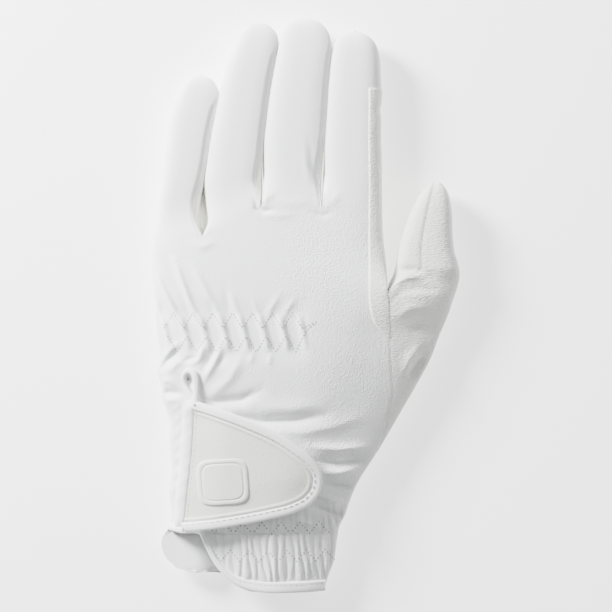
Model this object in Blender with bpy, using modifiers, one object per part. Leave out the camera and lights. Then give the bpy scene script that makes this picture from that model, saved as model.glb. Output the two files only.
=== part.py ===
"""A left-hand riding glove, lying palm down with its back up.

The hand is two leather sheets, back and palm, with a wrapped gusset on the
thumb side. Each finger is a back and a palm sheet with fourchette strips
between, and bends at the web. A bound vent opens the wrist, and a
hook-and-loop tab closes over it. +Y points to the fingertips, +X to the thumb.
"""

import math

import bmesh
import bpy
import numpy as np

MM = 0.001  # the sizes below are in millimetres

# Pattern grading: the plan below is drafted for a medium glove, and these stretch it.
LENGTH_GRADE = 1.0
WIDTH_GRADE = 1.0

# Materials and clearances
LEATHER = 1.0  # thickness of the back, palm and finger sheets
FOURCHETTE = 0.8
PATCH = 0.7
TAPE = 0.8  # elastic, hook and loop tapes
SEWN_GAP = 0.3  # between two pieces sewn face to face
SEAM_GAP = 0.45  # between the two rims along a seam
BINDING_RADIUS = 1.3

# Heights above the surface that the glove lies on
PALM_REST = PATCH + SEWN_GAP  # underside of the palm, lifted by the grip patches
SEAM_HEIGHT = 8.7  # where back and palm meet at the hand's outer edge
GUSSET_HEIGHT = 16.0  # where the back meets the thumb gusset
GUSSET_FOOT = 3.0  # where the palm meets the thumb gusset
FINGER_SEAM_HEIGHT = 7.6
FINGER_TOP = 15.0
FOURCHETTE_TOP = 11.0
FOURCHETTE_FOOT = 4.0
THUMB_SEAM_HEIGHT = 8.8
THUMB_HALF_HEIGHT = 7.0
CROWN = ((-118, 16.6), (-92, 16.6), (-62, 18.0), (-20, 21.2), (8, 20.6), (42, 16.2))

# The hand's plan: (y, x) along each edge, from the hem to the web
BACK_LEFT = ((-118, -50), (-92, -55.2), (-62, -55.2), (-42, -56.6), (-33, -58.8), (-17, -59.6), (12, -62.2), (32, -61.8))
PALM_LEFT = ((-118, -42), (-109, -50), (-105.5, -55), (-101, -58.2), (-96, -58.4), (-91, -56)) + BACK_LEFT[2:]
HAND_RIGHT = ((-118, 8.6), (-105, 12.9), (-96, 14.3), (-82, 19.3), (-72, 23.6), (-60, 31), (-50, 35.6),
              (-36, 37.8), (-18, 37.2), (-1, 35.2), (18, 34.2), (40, 33.4))
GUSSET_EDGE = ((-58, 32.6), (-46, 39.6), (-32, 47.6), (-22, 52.6), (-12, 56.8), (-2, 61.4))
WEB = ((-61.8, 29), (-41.5, 29.5), (-17, 40), (8.9, 41.5), (33.4, 38.5))  # (x, y) of the crotches
BACK_HEM = -117.0
PALM_HEM_LEFT, PALM_HEM_RIGHT = -108.0, -116.0

# Digits: width at the root and near the tip, and where the tip is
FINGER_GAP = 2.2
FINGERS = {
    "little": dict(tip=(-42.6, 95.6), tip_width=16.4, sides=(False, True), height=0.92),
    "ring": dict(tip=(-19.6, 118.0), tip_width=18.2, sides=(True, True), height=1.0),
    "middle": dict(tip=(0.7, 119.5), tip_width=19.6, sides=(True, True), height=1.0),
    "index": dict(tip=(21.8, 113.8), tip_width=20.0, sides=(True, False), height=1.0),
}
THUMB_ROOT = ((37.0, 1.6), (64.0, 3.4))
THUMB_TIP = (55.6, 51.6)
THUMB_TIP_WIDTH = 17.0
THUMB_SEAM_DEG = 106  # the seam along the thumb's back, from its outer side round to its inner
HINGE_GAP = 0.7  # between a digit's root and the hand

# Wrist: the vent, the tab and the tapes
VENT_LOOP = (-47.6, -30.5)
LOOP_RADIUS = 2.3
VENT_LEFT = ((-35, -48.4), (-60, -50.6), (-90, -53.2))
VENT_RIGHT = ((-35, -46.2), (-60, -43), (-88, -38.8), (-101, -33), (-111, -26), (-117, -20.5))
TAB_ROOT = ((-46.4, -41.4), (-50.6, -91.0))
TAB_NOSE = (8.2, -69.6)
TAB_NOSE_RADIUS = 13.0
TAB_THICKNESS = 1.2
TAB_ROOT_LIFT = 1.9  # the tab's root above the back, clear of the bound vent edge below it
BADGE_SIZE = (20.0, 17.0, 1.0)
BADGE_CENTRE = (-31.0, -75.0)
HOOK_SIZE = (17.0, 17.0)
HOOK_CENTRE = (-9.5, -69.5)
LOOP_SIZE = (30.0, 24.0)
LOOP_CENTRE = (-10.0, -69.5)
BACK_ELASTIC = ((-54.0, 3.0), (-15.5, -6.5))  # x range and y range
WRIST_ELASTIC = ((-23.0, 10.0), (-110.0, -94.0))
PALM_PATCH = ((-40.0, 8.0), (-40.0, 24.0))
RING_PATCH_SIZE = (12.0, 24.0)
INDEX_PATCH = (-12.0, 83.0)  # y range of the strip along the index side
INDEX_PATCH_WIDTH = 6.5
INDEX_PATCH_LIFT = 0.8  # measured upwards, which leaves about 0.3 square to the steep edge

COLLECTION = bpy.data.collections.new("riding_glove")
CUTTERS = bpy.data.collections.new("cutters")


def clear_scene():
    for obj in list(bpy.data.objects):
        bpy.data.objects.remove(obj)
    bpy.context.scene.collection.children.link(COLLECTION)
    bpy.context.scene.collection.children.link(CUTTERS)


def material(name, colour, roughness):
    made = bpy.data.materials.new(name)
    made.use_nodes = True
    shader = made.node_tree.nodes["Principled BSDF"]
    shader.inputs["Base Color"].default_value = (*colour, 1)
    shader.inputs["Roughness"].default_value = roughness
    shader.inputs["Metallic"].default_value = 0
    return made


def graded(points):
    """Plan points in millimetres, stretched to the graded size."""
    points = np.array(points, float)
    points[..., 0] *= WIDTH_GRADE
    points[..., 1] *= LENGTH_GRADE
    return points


def edge_at(edge, y):
    """x of a (y, x) edge at each y, by straight lines between its points."""
    ys, xs = np.array(edge, float).T
    return np.interp(y, ys * LENGTH_GRADE, xs * WIDTH_GRADE)


def smooth_step(low, high, value):
    share = np.clip((value - low) / (high - low), 0, 1)
    return share * share * (3 - 2 * share)


# Surfaces of the hand -------------------------------------------------------


def gusset_share(y):
    """1 where the thumb gusset lies between back and palm, 0 where they meet each other."""
    y = np.asarray(y, float) / LENGTH_GRADE
    return smooth_step(-62, -50, y) * (1 - smooth_step(4, 15, y))


def across(x, y, left):
    """-1 at the hand's left edge to 1 at its right edge."""
    low, high = edge_at(left, y), edge_at(HAND_RIGHT, y)
    return np.clip(2 * (x - low) / (high - low) - 1, -1, 1)


def back_height(x, y):
    """The back's outer surface: a dome between its two edges."""
    v = across(x, y, BACK_LEFT)
    low = SEAM_HEIGHT + LEATHER + SEAM_GAP / 2
    right = low + (GUSSET_HEIGHT - low) * gusset_share(y)
    ys, tops = np.array(CROWN, float).T
    top = np.interp(y, ys * LENGTH_GRADE, tops)
    chord = low + (right - low) * (v + 1) / 2
    return chord + (top - chord) * (1 - np.abs(v) ** 2.8)


def palm_height(x, y):
    """The palm's outer surface: flat where it lies, rising to its edges."""
    v = across(x, y, PALM_LEFT)
    high = SEAM_HEIGHT - LEATHER - SEAM_GAP / 2
    right = high + (GUSSET_FOOT - high) * gusset_share(y)
    edge = np.where(v > 0, right, high)
    return PALM_REST + (edge - PALM_REST) * np.abs(v) ** 6


def web_at(x):
    xs, ys = np.array(WEB, float).T
    return np.interp(x, xs * WIDTH_GRADE, ys * LENGTH_GRADE)


def hand_grid(left, hem_left, hem_right, height, rows, columns):
    """Rows from hem to web and columns from left to right, as points on a height."""
    v = np.sin(np.linspace(-math.pi / 2, math.pi / 2, columns))
    t = np.linspace(0, 1, rows)[:, None]
    hem = (hem_left + (hem_right - hem_left) * (v + 1) / 2) * LENGTH_GRADE
    middle = hem + t * (web_at(0) - hem)
    x = edge_at(left, middle) * (1 - v) / 2 + edge_at(HAND_RIGHT, middle) * (1 + v) / 2
    y = hem + t * (web_at(x) - hem)
    x = edge_at(left, y) * (1 - v) / 2 + edge_at(HAND_RIGHT, y) * (1 + v) / 2
    return np.stack([x, y, height(x, y)], axis=-1)


# Building meshes ------------------------------------------------------------


def mesh_from_grid(name, grid):
    """A mesh of quads between neighbouring points of a grid of rows and columns, in metres."""
    rows, columns = grid.shape[:2]
    index = np.arange(rows * columns).reshape(rows, columns)
    quads = np.stack([index[:-1, :-1], index[:-1, 1:], index[1:, 1:], index[1:, :-1]], -1)
    mesh = bpy.data.meshes.new(name)
    mesh.from_pydata((grid.reshape(-1, 3) * MM).tolist(), [], quads.reshape(-1, 4).tolist())
    mesh.shade_smooth()
    return mesh


def add_sheet(name, grid, thickness, finish, face_up=True):
    """A sewn sheet: its outer face is the grid, and its wall goes inwards from there."""
    obj = bpy.data.objects.new(name, mesh_from_grid(name, grid if face_up else grid[:, ::-1]))
    COLLECTION.objects.link(obj)
    obj.data.materials.append(finish)
    wall = obj.modifiers.new("wall", "SOLIDIFY")
    wall.thickness = thickness * MM
    wall.offset = -1
    return obj


def add_bead(name, points, radius, finish, cyclic=False):
    """A binding: a round bead along points in millimetres."""
    curve = bpy.data.curves.new(name, "CURVE")
    curve.dimensions = "3D"
    curve.bevel_depth = radius * MM
    curve.bevel_resolution = 1
    curve.use_fill_caps = True
    spline = curve.splines.new("POLY")
    spline.points.add(len(points) - 1)
    for target, point in zip(spline.points, np.asarray(points) * MM):
        target.co = (*point, 1)
    spline.use_cyclic_u = cyclic
    curve.materials.append(finish)
    obj = bpy.data.objects.new(name, curve)
    COLLECTION.objects.link(obj)
    return obj


def smooth_path(points, count):
    """Points evenly spaced on a Catmull-Rom curve through the given ones."""
    p = np.array(points, float)
    p = np.vstack([2 * p[0] - p[1], p, 2 * p[-1] - p[-2]])
    made = []
    for a, b, c, d in zip(p, p[1:], p[2:], p[3:]):
        for t in np.arange(0, 1, 0.05):
            made.append(0.5 * (2 * b + (c - a) * t + (2 * a - 5 * b + 4 * c - d) * t * t
                               + (3 * b - a - 3 * c + d) * t ** 3))
    made = np.array(made + [p[-2]])
    along = np.concatenate([[0], np.cumsum(np.linalg.norm(np.diff(made, axis=0), axis=1))])
    at = np.linspace(0, along[-1], count)
    return np.stack([np.interp(at, along, made[:, k]) for k in range(made.shape[1])], axis=-1)


# Fingers --------------------------------------------------------------------


class Digit:
    """A tapering tongue with a round tip, in plan, from a slanted root line."""

    def __init__(self, root, tip, tip_width):
        left, right = graded(root)
        self.base = (left + right) / 2
        self.tip = graded(tip)
        axis = self.tip - self.base
        self.length = float(np.linalg.norm(axis))
        self.along = axis / self.length
        self.side = np.array([self.along[1], -self.along[0]])
        self.starts = [float((p - self.base) @ self.along) + HINGE_GAP for p in (left, right)]
        self.root_width = float((right - left) @ self.side)
        self.tip_width = tip_width * WIDTH_GRADE
        self.cap = self.tip_width / 2 * 1.15

    def stations(self, straight, round_rows):
        """Shares along the straight part, then angles round the tip, and each row's size."""
        t = np.concatenate([np.linspace(0, 1, straight), np.ones(round_rows)])
        angle = np.concatenate([np.zeros(straight), np.radians(np.linspace(0, 84, round_rows + 1)[1:])])
        return t, angle

    def place(self, v, t, angle):
        """Plan points for v across (-1 to 1) at each row, as x, y, and the distance along."""
        start = self.starts[0] * (1 - v) / 2 + self.starts[1] * (1 + v) / 2
        end = self.length - self.cap
        a = start + t[:, None] * (end - start) + self.cap * np.sin(angle)[:, None]
        width = self.root_width + (self.tip_width - self.root_width) * np.clip(a / end, 0, 1)
        lateral = v * width / 2 * np.cos(angle)[:, None]
        xy = self.base + a[..., None] * self.along + lateral[..., None] * self.side
        return xy, np.cos(angle)[:, None]


def finger_sheets(name, digit, sides, height, leather):
    """The back and palm sheets of one finger. sides says which side has a fourchette."""
    v = np.sin(np.linspace(-math.pi / 2, math.pi / 2, 7))
    t, angle = digit.stations(6, 5)
    xy, size = digit.place(v, t, angle)
    middle = PALM_REST + (FINGER_SEAM_HEIGHT - PALM_REST) * height
    tip_gap = LEATHER + SEAM_GAP / 2
    for part, top, seam, sign in (
        ("back", FINGER_TOP, FOURCHETTE_TOP, 1),
        ("palm", PALM_REST, FOURCHETTE_FOOT, -1),
    ):
        top = PALM_REST + (top - PALM_REST) * height
        seam = PALM_REST + (seam - PALM_REST) * height
        plain = middle + sign * tip_gap
        left, right = (seam if has else plain for has in sides)
        edge = left + (right - left) * (v + 1) / 2
        edge = plain + (edge - plain) * size
        crest = plain + (top - plain) * size ** 0.75
        z = edge + (crest - edge) * (1 - np.abs(v) ** 2.4)
        add_sheet(f"{name}_{part}", np.dstack([xy, z]), LEATHER, leather, face_up=sign > 0)


def finger_fourchettes(name, digit, sides, height, finish):
    """The strips that stand between back and palm, on the sides next to another finger."""
    t, angle = digit.stations(6, 3)
    angle = angle * 0.6
    middle = PALM_REST + (FINGER_SEAM_HEIGHT - PALM_REST) * height
    clear = LEATHER + SEAM_GAP - 0.2
    for side, has in zip((-1, 1), sides):
        if not has:
            continue
        v = np.full(3, side * 0.985)
        xy, size = digit.place(v, t, angle)
        high = PALM_REST + (FOURCHETTE_TOP - PALM_REST) * height - clear
        low = PALM_REST + (FOURCHETTE_FOOT - PALM_REST) * height + clear
        top = middle + (high - middle) * size ** 1.6
        foot = middle + (low - middle) * size ** 1.6
        z = foot + (top - foot) * np.array([0, 0.5, 1])
        which = "inner" if side > 0 else "outer"
        add_sheet(f"{name}_fourchette_{which}", np.dstack([xy, z]), FOURCHETTE, finish, face_up=side > 0)


def thumb_sheets(digit, leather, fine_leather):
    """The thumb's outer and inner halves, sewn along its back and its underside."""
    t, angle = digit.stations(5, 5)
    for name, start, end, finish in (
        ("thumb_outer", THUMB_SEAM_DEG, -90, leather),
        ("thumb_inner", THUMB_SEAM_DEG, 270, fine_leather),
    ):
        turn = np.radians(np.linspace(start, end, 9))
        xy, size = digit.place(np.cos(turn), t, angle)
        end_height = 0.8
        half = end_height + (THUMB_HALF_HEIGHT - end_height) * size
        z = THUMB_SEAM_HEIGHT + half * np.sin(turn)
        shift = (0.35 if name == "thumb_outer" else -0.35) * np.clip(np.abs(np.sin(turn)), 0, 1) ** 6
        xy = xy + shift[:, None] * digit.side
        add_sheet(name, np.dstack([xy, z]), LEATHER, finish, face_up=name == "thumb_inner")


# Hand -----------------------------------------------------------------------


def thumb_gusset(leather):
    """The wrap between back and palm below the thumb, round the hand's thumb edge."""
    (near_x, near_y), (far_x, far_y) = graded(THUMB_ROOT)
    y = np.linspace(-57.0 * LENGTH_GRADE, near_y, 9)[:, None]
    seam = edge_at(HAND_RIGHT, y) + 0.7
    bulge = edge_at(GUSSET_EDGE, y) - seam
    share = gusset_share(y)
    low = SEAM_HEIGHT
    top = low + LEATHER / 2 + (GUSSET_HEIGHT - low - LEATHER / 2) * share
    foot = low - LEATHER / 2 - (low - LEATHER / 2 - GUSSET_FOOT) * share
    turn = np.radians(np.linspace(90, -90, 9))
    x = seam + bulge * np.cos(turn) ** 0.9
    z = np.where(np.sin(turn) > 0, low + (top - low) * np.sin(turn), low + (low - foot) * np.sin(turn))
    slant = (far_y - near_y) / (far_x - near_x) * smooth_step(-30 * LENGTH_GRADE, near_y, y)
    grid = np.dstack([x, y + slant * (x - near_x), z])
    return add_sheet("thumb_gusset", grid, LEATHER, leather, face_up=True)


def cut_vent(back):
    """Cuts the vent from the back with a prism along the vent's two edges."""
    left = [(x, y) for y, x in VENT_LEFT]
    right = [(x, y) for y, x in VENT_RIGHT]
    outline = [(VENT_LOOP[0] - 0.6, VENT_LOOP[1]), *left, (-62, -92.5), (-62, -125), (-20.5, -125),
               *reversed(right), (VENT_LOOP[0] + 0.6, VENT_LOOP[1])]
    mesh = bpy.data.meshes.new("vent_cutter")
    shape = bmesh.new()
    corners = [shape.verts.new((x * MM, y * MM, 0)) for x, y in graded(outline)]
    face = shape.faces.new(corners)
    raised = bmesh.ops.extrude_face_region(shape, geom=[face])["geom"]
    top = [v for v in raised if isinstance(v, bmesh.types.BMVert)]
    bmesh.ops.translate(shape, verts=top, vec=(0, 0, 40 * MM))
    bmesh.ops.recalc_face_normals(shape, faces=shape.faces)
    shape.to_mesh(mesh)
    shape.free()
    cutter = bpy.data.objects.new("vent_cutter", mesh)
    CUTTERS.objects.link(cutter)
    cutter.hide_render = True
    cutter.display_type = "WIRE"
    cut = back.modifiers.new("vent", "BOOLEAN")
    cut.operation = "DIFFERENCE"
    cut.object = cutter


def plan_sheet(name, x_range, y_range, height, lift, thickness, finish, steps, face_up=True):
    """A patch or tape over a rectangle of the plan, lifted from a surface by a vertical gap."""
    x, y = np.meshgrid(np.linspace(*x_range, steps[0]), np.linspace(*y_range, steps[1]))
    xy = graded(np.dstack([x, y]))
    z = height(xy[..., 0], xy[..., 1]) + lift
    return add_sheet(name, np.dstack([xy, z]), thickness, finish, face_up)


def centred(size, centre):
    return tuple((c - s / 2, c + s / 2) for c, s in zip(centre, size))


# Tab ------------------------------------------------------------------------


def tab_edges(share):
    """The tab's upper and lower plan points at each share from root to nose."""
    root_top, root_foot = np.array(TAB_ROOT, float)
    nose = np.array(TAB_NOSE, float)
    centre = nose - np.array([TAB_NOSE_RADIUS, 0])
    top = centre + TAB_NOSE_RADIUS * np.array([math.sin(0.42), math.cos(0.42)])
    foot = centre + TAB_NOSE_RADIUS * np.array([math.sin(0.2), -math.cos(0.2)])
    straight = 0.62
    t = np.clip(share / straight, 0, 1)[:, None]
    turn = np.clip((share - straight) / (1 - straight), 0, 1)[:, None]
    upper_angle = math.pi / 2 - 0.42 - turn * (math.pi / 2 - 0.42 - 0.08)
    lower_angle = -(math.pi / 2 - 0.2) + turn * (math.pi / 2 - 0.2 - 0.08)
    upper = np.where(t < 1, root_top + t * (top - root_top),
                     centre + TAB_NOSE_RADIUS * np.hstack([np.cos(upper_angle), np.sin(upper_angle)]))
    lower = np.where(t < 1, root_foot + t * (foot - root_foot),
                     centre + TAB_NOSE_RADIUS * np.hstack([np.cos(lower_angle), np.sin(lower_angle)]))
    return upper, lower


def tab_height(x, y):
    """The tab's underside: low at its root, then over the back with the two tapes between."""
    roots, ys = np.array(TAB_ROOT, float).T
    root = np.interp(y, ys[::-1] * LENGTH_GRADE, roots[::-1] * WIDTH_GRADE)
    lift = 2 * TAPE + 3 * SEWN_GAP + 0.2
    return back_height(x, y) + TAB_ROOT_LIFT + (lift - TAB_ROOT_LIFT) * smooth_step(0, 14, x - root)


def tab_grid(inset, rows=12, columns=8):
    """Plan of the tab, inset from its edge to leave room for the binding."""
    upper, lower = tab_edges(np.linspace(0, 1, rows))
    middle = (upper + lower) / 2
    root, nose = middle[0], np.array(TAB_NOSE, float)
    pull = inset / np.maximum(np.linalg.norm(upper - middle, axis=1), inset)[:, None]
    upper, lower = upper + (middle - upper) * pull, lower + (middle - lower) * pull
    squeeze = 1 - inset / (nose - root)[0]
    upper, lower = root + (upper - root) * [squeeze, 1], root + (lower - root) * [squeeze, 1]
    v = np.linspace(0, 1, columns)[None, :, None]
    return graded(upper[:, None] * (1 - v) + lower[:, None] * v)


def tab(face, binding_finish, tape, badge):
    plan = tab_grid(BINDING_RADIUS + SEWN_GAP)
    under = tab_height(plan[..., 0], plan[..., 1])
    add_sheet("tab_face", np.dstack([plan, under + TAB_THICKNESS]), TAB_THICKNESS, face)
    upper, lower = tab_edges(np.linspace(0, 1, 16))
    rim = graded(np.vstack([upper, lower[::-1]]))
    lift = tab_height(rim[:, 0], rim[:, 1]) + TAB_THICKNESS / 2
    add_bead("tab_binding", np.column_stack([rim, lift]), BINDING_RADIUS, binding_finish)
    plan_sheet("tab_hook_tape", *centred(HOOK_SIZE, HOOK_CENTRE), tab_height, -SEWN_GAP, TAPE, tape, (6, 5))
    plan_sheet("tab_badge", *centred(BADGE_SIZE[:2], BADGE_CENTRE), tab_height,
               TAB_THICKNESS + SEWN_GAP + BADGE_SIZE[2], BADGE_SIZE[2], badge, (5, 5))


def binding_loop(finish):
    """The loop of binding at the vent's head, and the bound edges below it."""
    turn = np.radians(np.linspace(-60, 240, 15))
    centre = graded(VENT_LOOP) + np.array([0, LOOP_RADIUS + 0.6])
    ring = centre + LOOP_RADIUS * np.column_stack([np.cos(turn), np.sin(turn)])
    offset = BINDING_RADIUS + SEWN_GAP
    right = graded([(edge_x, y) for y, edge_x in VENT_RIGHT[1:]])
    right = smooth_path(right, 18)
    slope = np.gradient(right, axis=0)
    slope /= np.linalg.norm(slope, axis=1, keepdims=True)
    right = right + offset * slope[:, ::-1] * [1, -1]
    left = smooth_path(graded([(edge_x, y) for y, edge_x in VENT_LEFT[1:]]) + [offset, 0], 6)
    for name, plan in (("vent_loop_binding", ring), ("vent_binding", right), ("vent_side_binding", left)):
        z = back_height(plan[:, 0], plan[:, 1]) - LEATHER / 2
        if name == "vent_loop_binding":
            z = z + BINDING_RADIUS + LEATHER / 2 + SEWN_GAP
        add_bead(name, np.column_stack([plan, z]), BINDING_RADIUS, finish)


def hem_bindings(finish):
    """The bound hems of the back and the palm."""
    x = np.linspace(-19.0, 8.0, 8) * WIDTH_GRADE
    y = np.full(8, BACK_HEM * LENGTH_GRADE - BINDING_RADIUS - SEWN_GAP)
    z = back_height(x, np.full(8, BACK_HEM * LENGTH_GRADE)) - LEATHER / 2
    add_bead("back_hem_binding", np.column_stack([x, y, z]), BINDING_RADIUS, finish)
    v = np.linspace(0.08, 0.9, 12)
    hem = (PALM_HEM_LEFT + (PALM_HEM_RIGHT - PALM_HEM_LEFT) * v) * LENGTH_GRADE
    x = edge_at(PALM_LEFT, hem) * (1 - v) + edge_at(HAND_RIGHT, hem) * v
    z = palm_height(x, hem) + LEATHER / 2
    z = np.maximum(z, BINDING_RADIUS + 0.1)
    y = hem - BINDING_RADIUS - SEWN_GAP - 0.15
    add_bead("palm_hem_binding", np.column_stack([x, y, z]), BINDING_RADIUS, finish)


def ring_patch(ring, finish):
    """The grip patch under the ring finger's first joint."""
    start = ring.base + ring.along * (max(ring.starts) + 4)
    rows = np.linspace(start, start + ring.along * RING_PATCH_SIZE[1], 4)[:, None]
    half = RING_PATCH_SIZE[0] / 2
    strip = rows + np.linspace(-half, half, 3)[None, :, None] * ring.side
    z = np.zeros(strip.shape[:2])
    add_sheet("ring_grip_patch", np.dstack([strip, z]), PATCH, finish, face_up=False)


def index_patches(index, finish):
    """The strip along the index finger's outer side, in two lengths: on the hand and on the finger."""
    foot, head = INDEX_PATCH
    y = np.linspace(foot, 36.5, 6)[:, None] * LENGTH_GRADE
    edge = edge_at(HAND_RIGHT, y)
    x = edge - np.linspace(INDEX_PATCH_WIDTH, 1.2, 4)
    z = back_height(x, np.broadcast_to(y, x.shape)) + INDEX_PATCH_LIFT + PATCH
    add_sheet("index_patch_lower", np.dstack([x, np.broadcast_to(y, x.shape), z]), PATCH, finish)
    a = np.linspace(1.5, head * LENGTH_GRADE - index.base[1], 7)
    width = index.root_width + (index.tip_width - index.root_width) * a / index.length
    across_share = 1 - np.linspace(INDEX_PATCH_WIDTH, 0.6, 4) / (width[:, None] / 2)
    xy = index.base + a[:, None, None] * index.along + (across_share * width[:, None] / 2)[..., None] * index.side
    plain = FINGER_SEAM_HEIGHT + LEATHER + SEAM_GAP / 2
    edge_z = FOURCHETTE_TOP + (plain - FOURCHETTE_TOP) * (across_share + 1) / 2
    z = edge_z + (FINGER_TOP - edge_z) * (1 - across_share ** 2.4) + INDEX_PATCH_LIFT + PATCH
    add_sheet("index_patch_upper", np.dstack([xy, z]), PATCH, finish)


# Bodies ---------------------------------------------------------------------


def hang_on(pivot_name, place, pieces):
    """Parents the pieces of a moving body to an empty on its hinge, and leaves them where they are."""
    pivot = bpy.data.objects.new(pivot_name, None)
    pivot.location = np.array(place) * MM
    pivot.empty_display_size = 10 * MM
    COLLECTION.objects.link(pivot)
    bpy.context.view_layer.update()
    for piece in pieces:
        piece.parent = pivot
        piece.matrix_parent_inverse = pivot.matrix_world.inverted()


def centre_on_origin():
    """Moves everything so that the middle of its box is over the origin, and its underside at height 0."""
    bpy.context.view_layer.update()
    graph = bpy.context.evaluated_depsgraph_get()
    points = []
    for obj in COLLECTION.objects:
        if obj.type != "EMPTY":
            mesh = obj.evaluated_get(graph).to_mesh()
            points += [obj.matrix_world @ vertex.co for vertex in mesh.vertices]
    points = np.array(points)
    low, high = points.min(axis=0), points.max(axis=0)
    shift = np.array([(low[0] + high[0]) / 2, (low[1] + high[1]) / 2, low[2]])
    for obj in [*COLLECTION.objects, *CUTTERS.objects]:
        if obj.parent is None:
            obj.location = np.array(obj.location) - shift


def main():
    clear_scene()
    leather = material("white_leather", (0.87, 0.88, 0.87), 0.5)
    fine = material("fourchette_leather", (0.84, 0.85, 0.81), 0.55)
    bound = material("binding", (0.92, 0.92, 0.93), 0.6)
    tape = material("tape", (0.9, 0.9, 0.9), 0.9)
    tab_finish = material("tab_leather", (0.85, 0.86, 0.83), 0.5)
    rubber = material("badge_rubber", (0.88, 0.88, 0.86), 0.45)

    back = add_sheet("back_panel", hand_grid(BACK_LEFT, BACK_HEM, BACK_HEM, back_height, 20, 15), LEATHER, leather)
    cut_vent(back)
    add_sheet("palm_panel", hand_grid(PALM_LEFT, PALM_HEM_LEFT, PALM_HEM_RIGHT, palm_height, 14, 13),
              LEATHER, leather, face_up=False)
    thumb_gusset(leather)

    web = np.array(WEB, float)
    pivots = {}
    for number, (name, spec) in enumerate(FINGERS.items()):
        left, right = web[number].copy(), web[number + 1].copy()
        if spec["sides"][0]:
            left[0] += FINGER_GAP / 2
        if spec["sides"][1]:
            right[0] -= FINGER_GAP / 2
        digit = Digit((left, right), spec["tip"], spec["tip_width"])
        finger_sheets(name, digit, spec["sides"], spec["height"], leather)
        finger_fourchettes(name, digit, spec["sides"], spec["height"], fine)
        if name == "index":
            index_patches(digit, fine)
        if name == "ring":
            ring_patch(digit, fine)
        pivots[name] = (*digit.base, PALM_REST + LEATHER / 2)
    thumb = Digit(THUMB_ROOT, THUMB_TIP, THUMB_TIP_WIDTH)
    thumb_sheets(thumb, leather, fine)
    pivots["thumb"] = (*thumb.base, THUMB_SEAM_HEIGHT - THUMB_HALF_HEIGHT + LEATHER / 2)
    plan_sheet("palm_grip_patch", *PALM_PATCH, palm_height, -PALM_REST, PATCH, fine, (5, 4), face_up=False)

    inside = -(LEATHER + SEWN_GAP + 0.25)
    plan_sheet("back_elastic", *BACK_ELASTIC, back_height, inside, TAPE, tape, (12, 3))
    plan_sheet("wrist_elastic", *WRIST_ELASTIC, back_height, inside, TAPE, tape, (9, 4))
    plan_sheet("back_loop_tape", *centred(LOOP_SIZE, LOOP_CENTRE), back_height, SEWN_GAP + TAPE, TAPE, tape, (7, 5))
    tab(tab_finish, bound, tape, rubber)
    binding_loop(bound)
    hem_bindings(bound)

    root = graded(np.linspace(*TAB_ROOT, 9))
    pivots["tab"] = (*root.mean(axis=0), tab_height(*root.T).max() + TAB_THICKNESS)
    for body, place in pivots.items():
        on_body = [obj for obj in COLLECTION.objects if obj.name.startswith(f"{body}_")]
        on_body = [obj for obj in on_body if obj.name not in ("index_patch_lower", "thumb_gusset")]
        hang_on(f"{body}_pivot", place, on_body)
    centre_on_origin()


main()
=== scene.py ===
"""A white left-hand riding glove lying palm down, its back up and its fingers along +Y.

It is sewn from soft synthetic leather: a back and a palm that run on into the fingers, strips
between the fingers, and a thumb set in at the side. The back is gathered over elastic above the
wrist, and a bound tab closes the vent. The script builds it in that order.
"""
import math

import bpy
import numpy as np
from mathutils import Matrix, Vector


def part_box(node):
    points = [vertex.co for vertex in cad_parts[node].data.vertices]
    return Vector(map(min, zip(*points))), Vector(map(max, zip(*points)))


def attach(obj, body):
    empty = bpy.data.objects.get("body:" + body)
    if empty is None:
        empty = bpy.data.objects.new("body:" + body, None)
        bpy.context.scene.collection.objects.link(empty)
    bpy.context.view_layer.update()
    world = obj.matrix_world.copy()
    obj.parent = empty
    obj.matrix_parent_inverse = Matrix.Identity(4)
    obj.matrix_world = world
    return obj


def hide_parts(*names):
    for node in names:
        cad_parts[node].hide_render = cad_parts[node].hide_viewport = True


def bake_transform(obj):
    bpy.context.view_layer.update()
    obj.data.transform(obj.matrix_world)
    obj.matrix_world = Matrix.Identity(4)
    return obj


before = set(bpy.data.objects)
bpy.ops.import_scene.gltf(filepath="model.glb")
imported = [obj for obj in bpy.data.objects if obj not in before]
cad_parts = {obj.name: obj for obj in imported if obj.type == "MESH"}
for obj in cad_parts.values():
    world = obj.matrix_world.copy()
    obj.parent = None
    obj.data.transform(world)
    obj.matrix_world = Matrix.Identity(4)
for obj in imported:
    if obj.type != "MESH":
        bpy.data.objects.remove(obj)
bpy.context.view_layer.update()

MM = 0.001

# The back of the hand ---------------------------------------------------------
# One cut piece of pebbled synthetic leather from the cuff to the finger roots, where it runs on
# into the backs of the fingers. It is sewn to the palm along the outer side, and to the thumb
# piece on the other. Sizes from here on are in millimetres on the pattern's own plan.

# The pattern's plan has its origin beside the frame's: the palm patch's corner tells how far.
PALM_PATCH_CORNER = (-40.0, -40.0)
plan_shift = np.array(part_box("palm_grip_patch")[0][:2]) / MM - PALM_PATCH_CORNER

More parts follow.
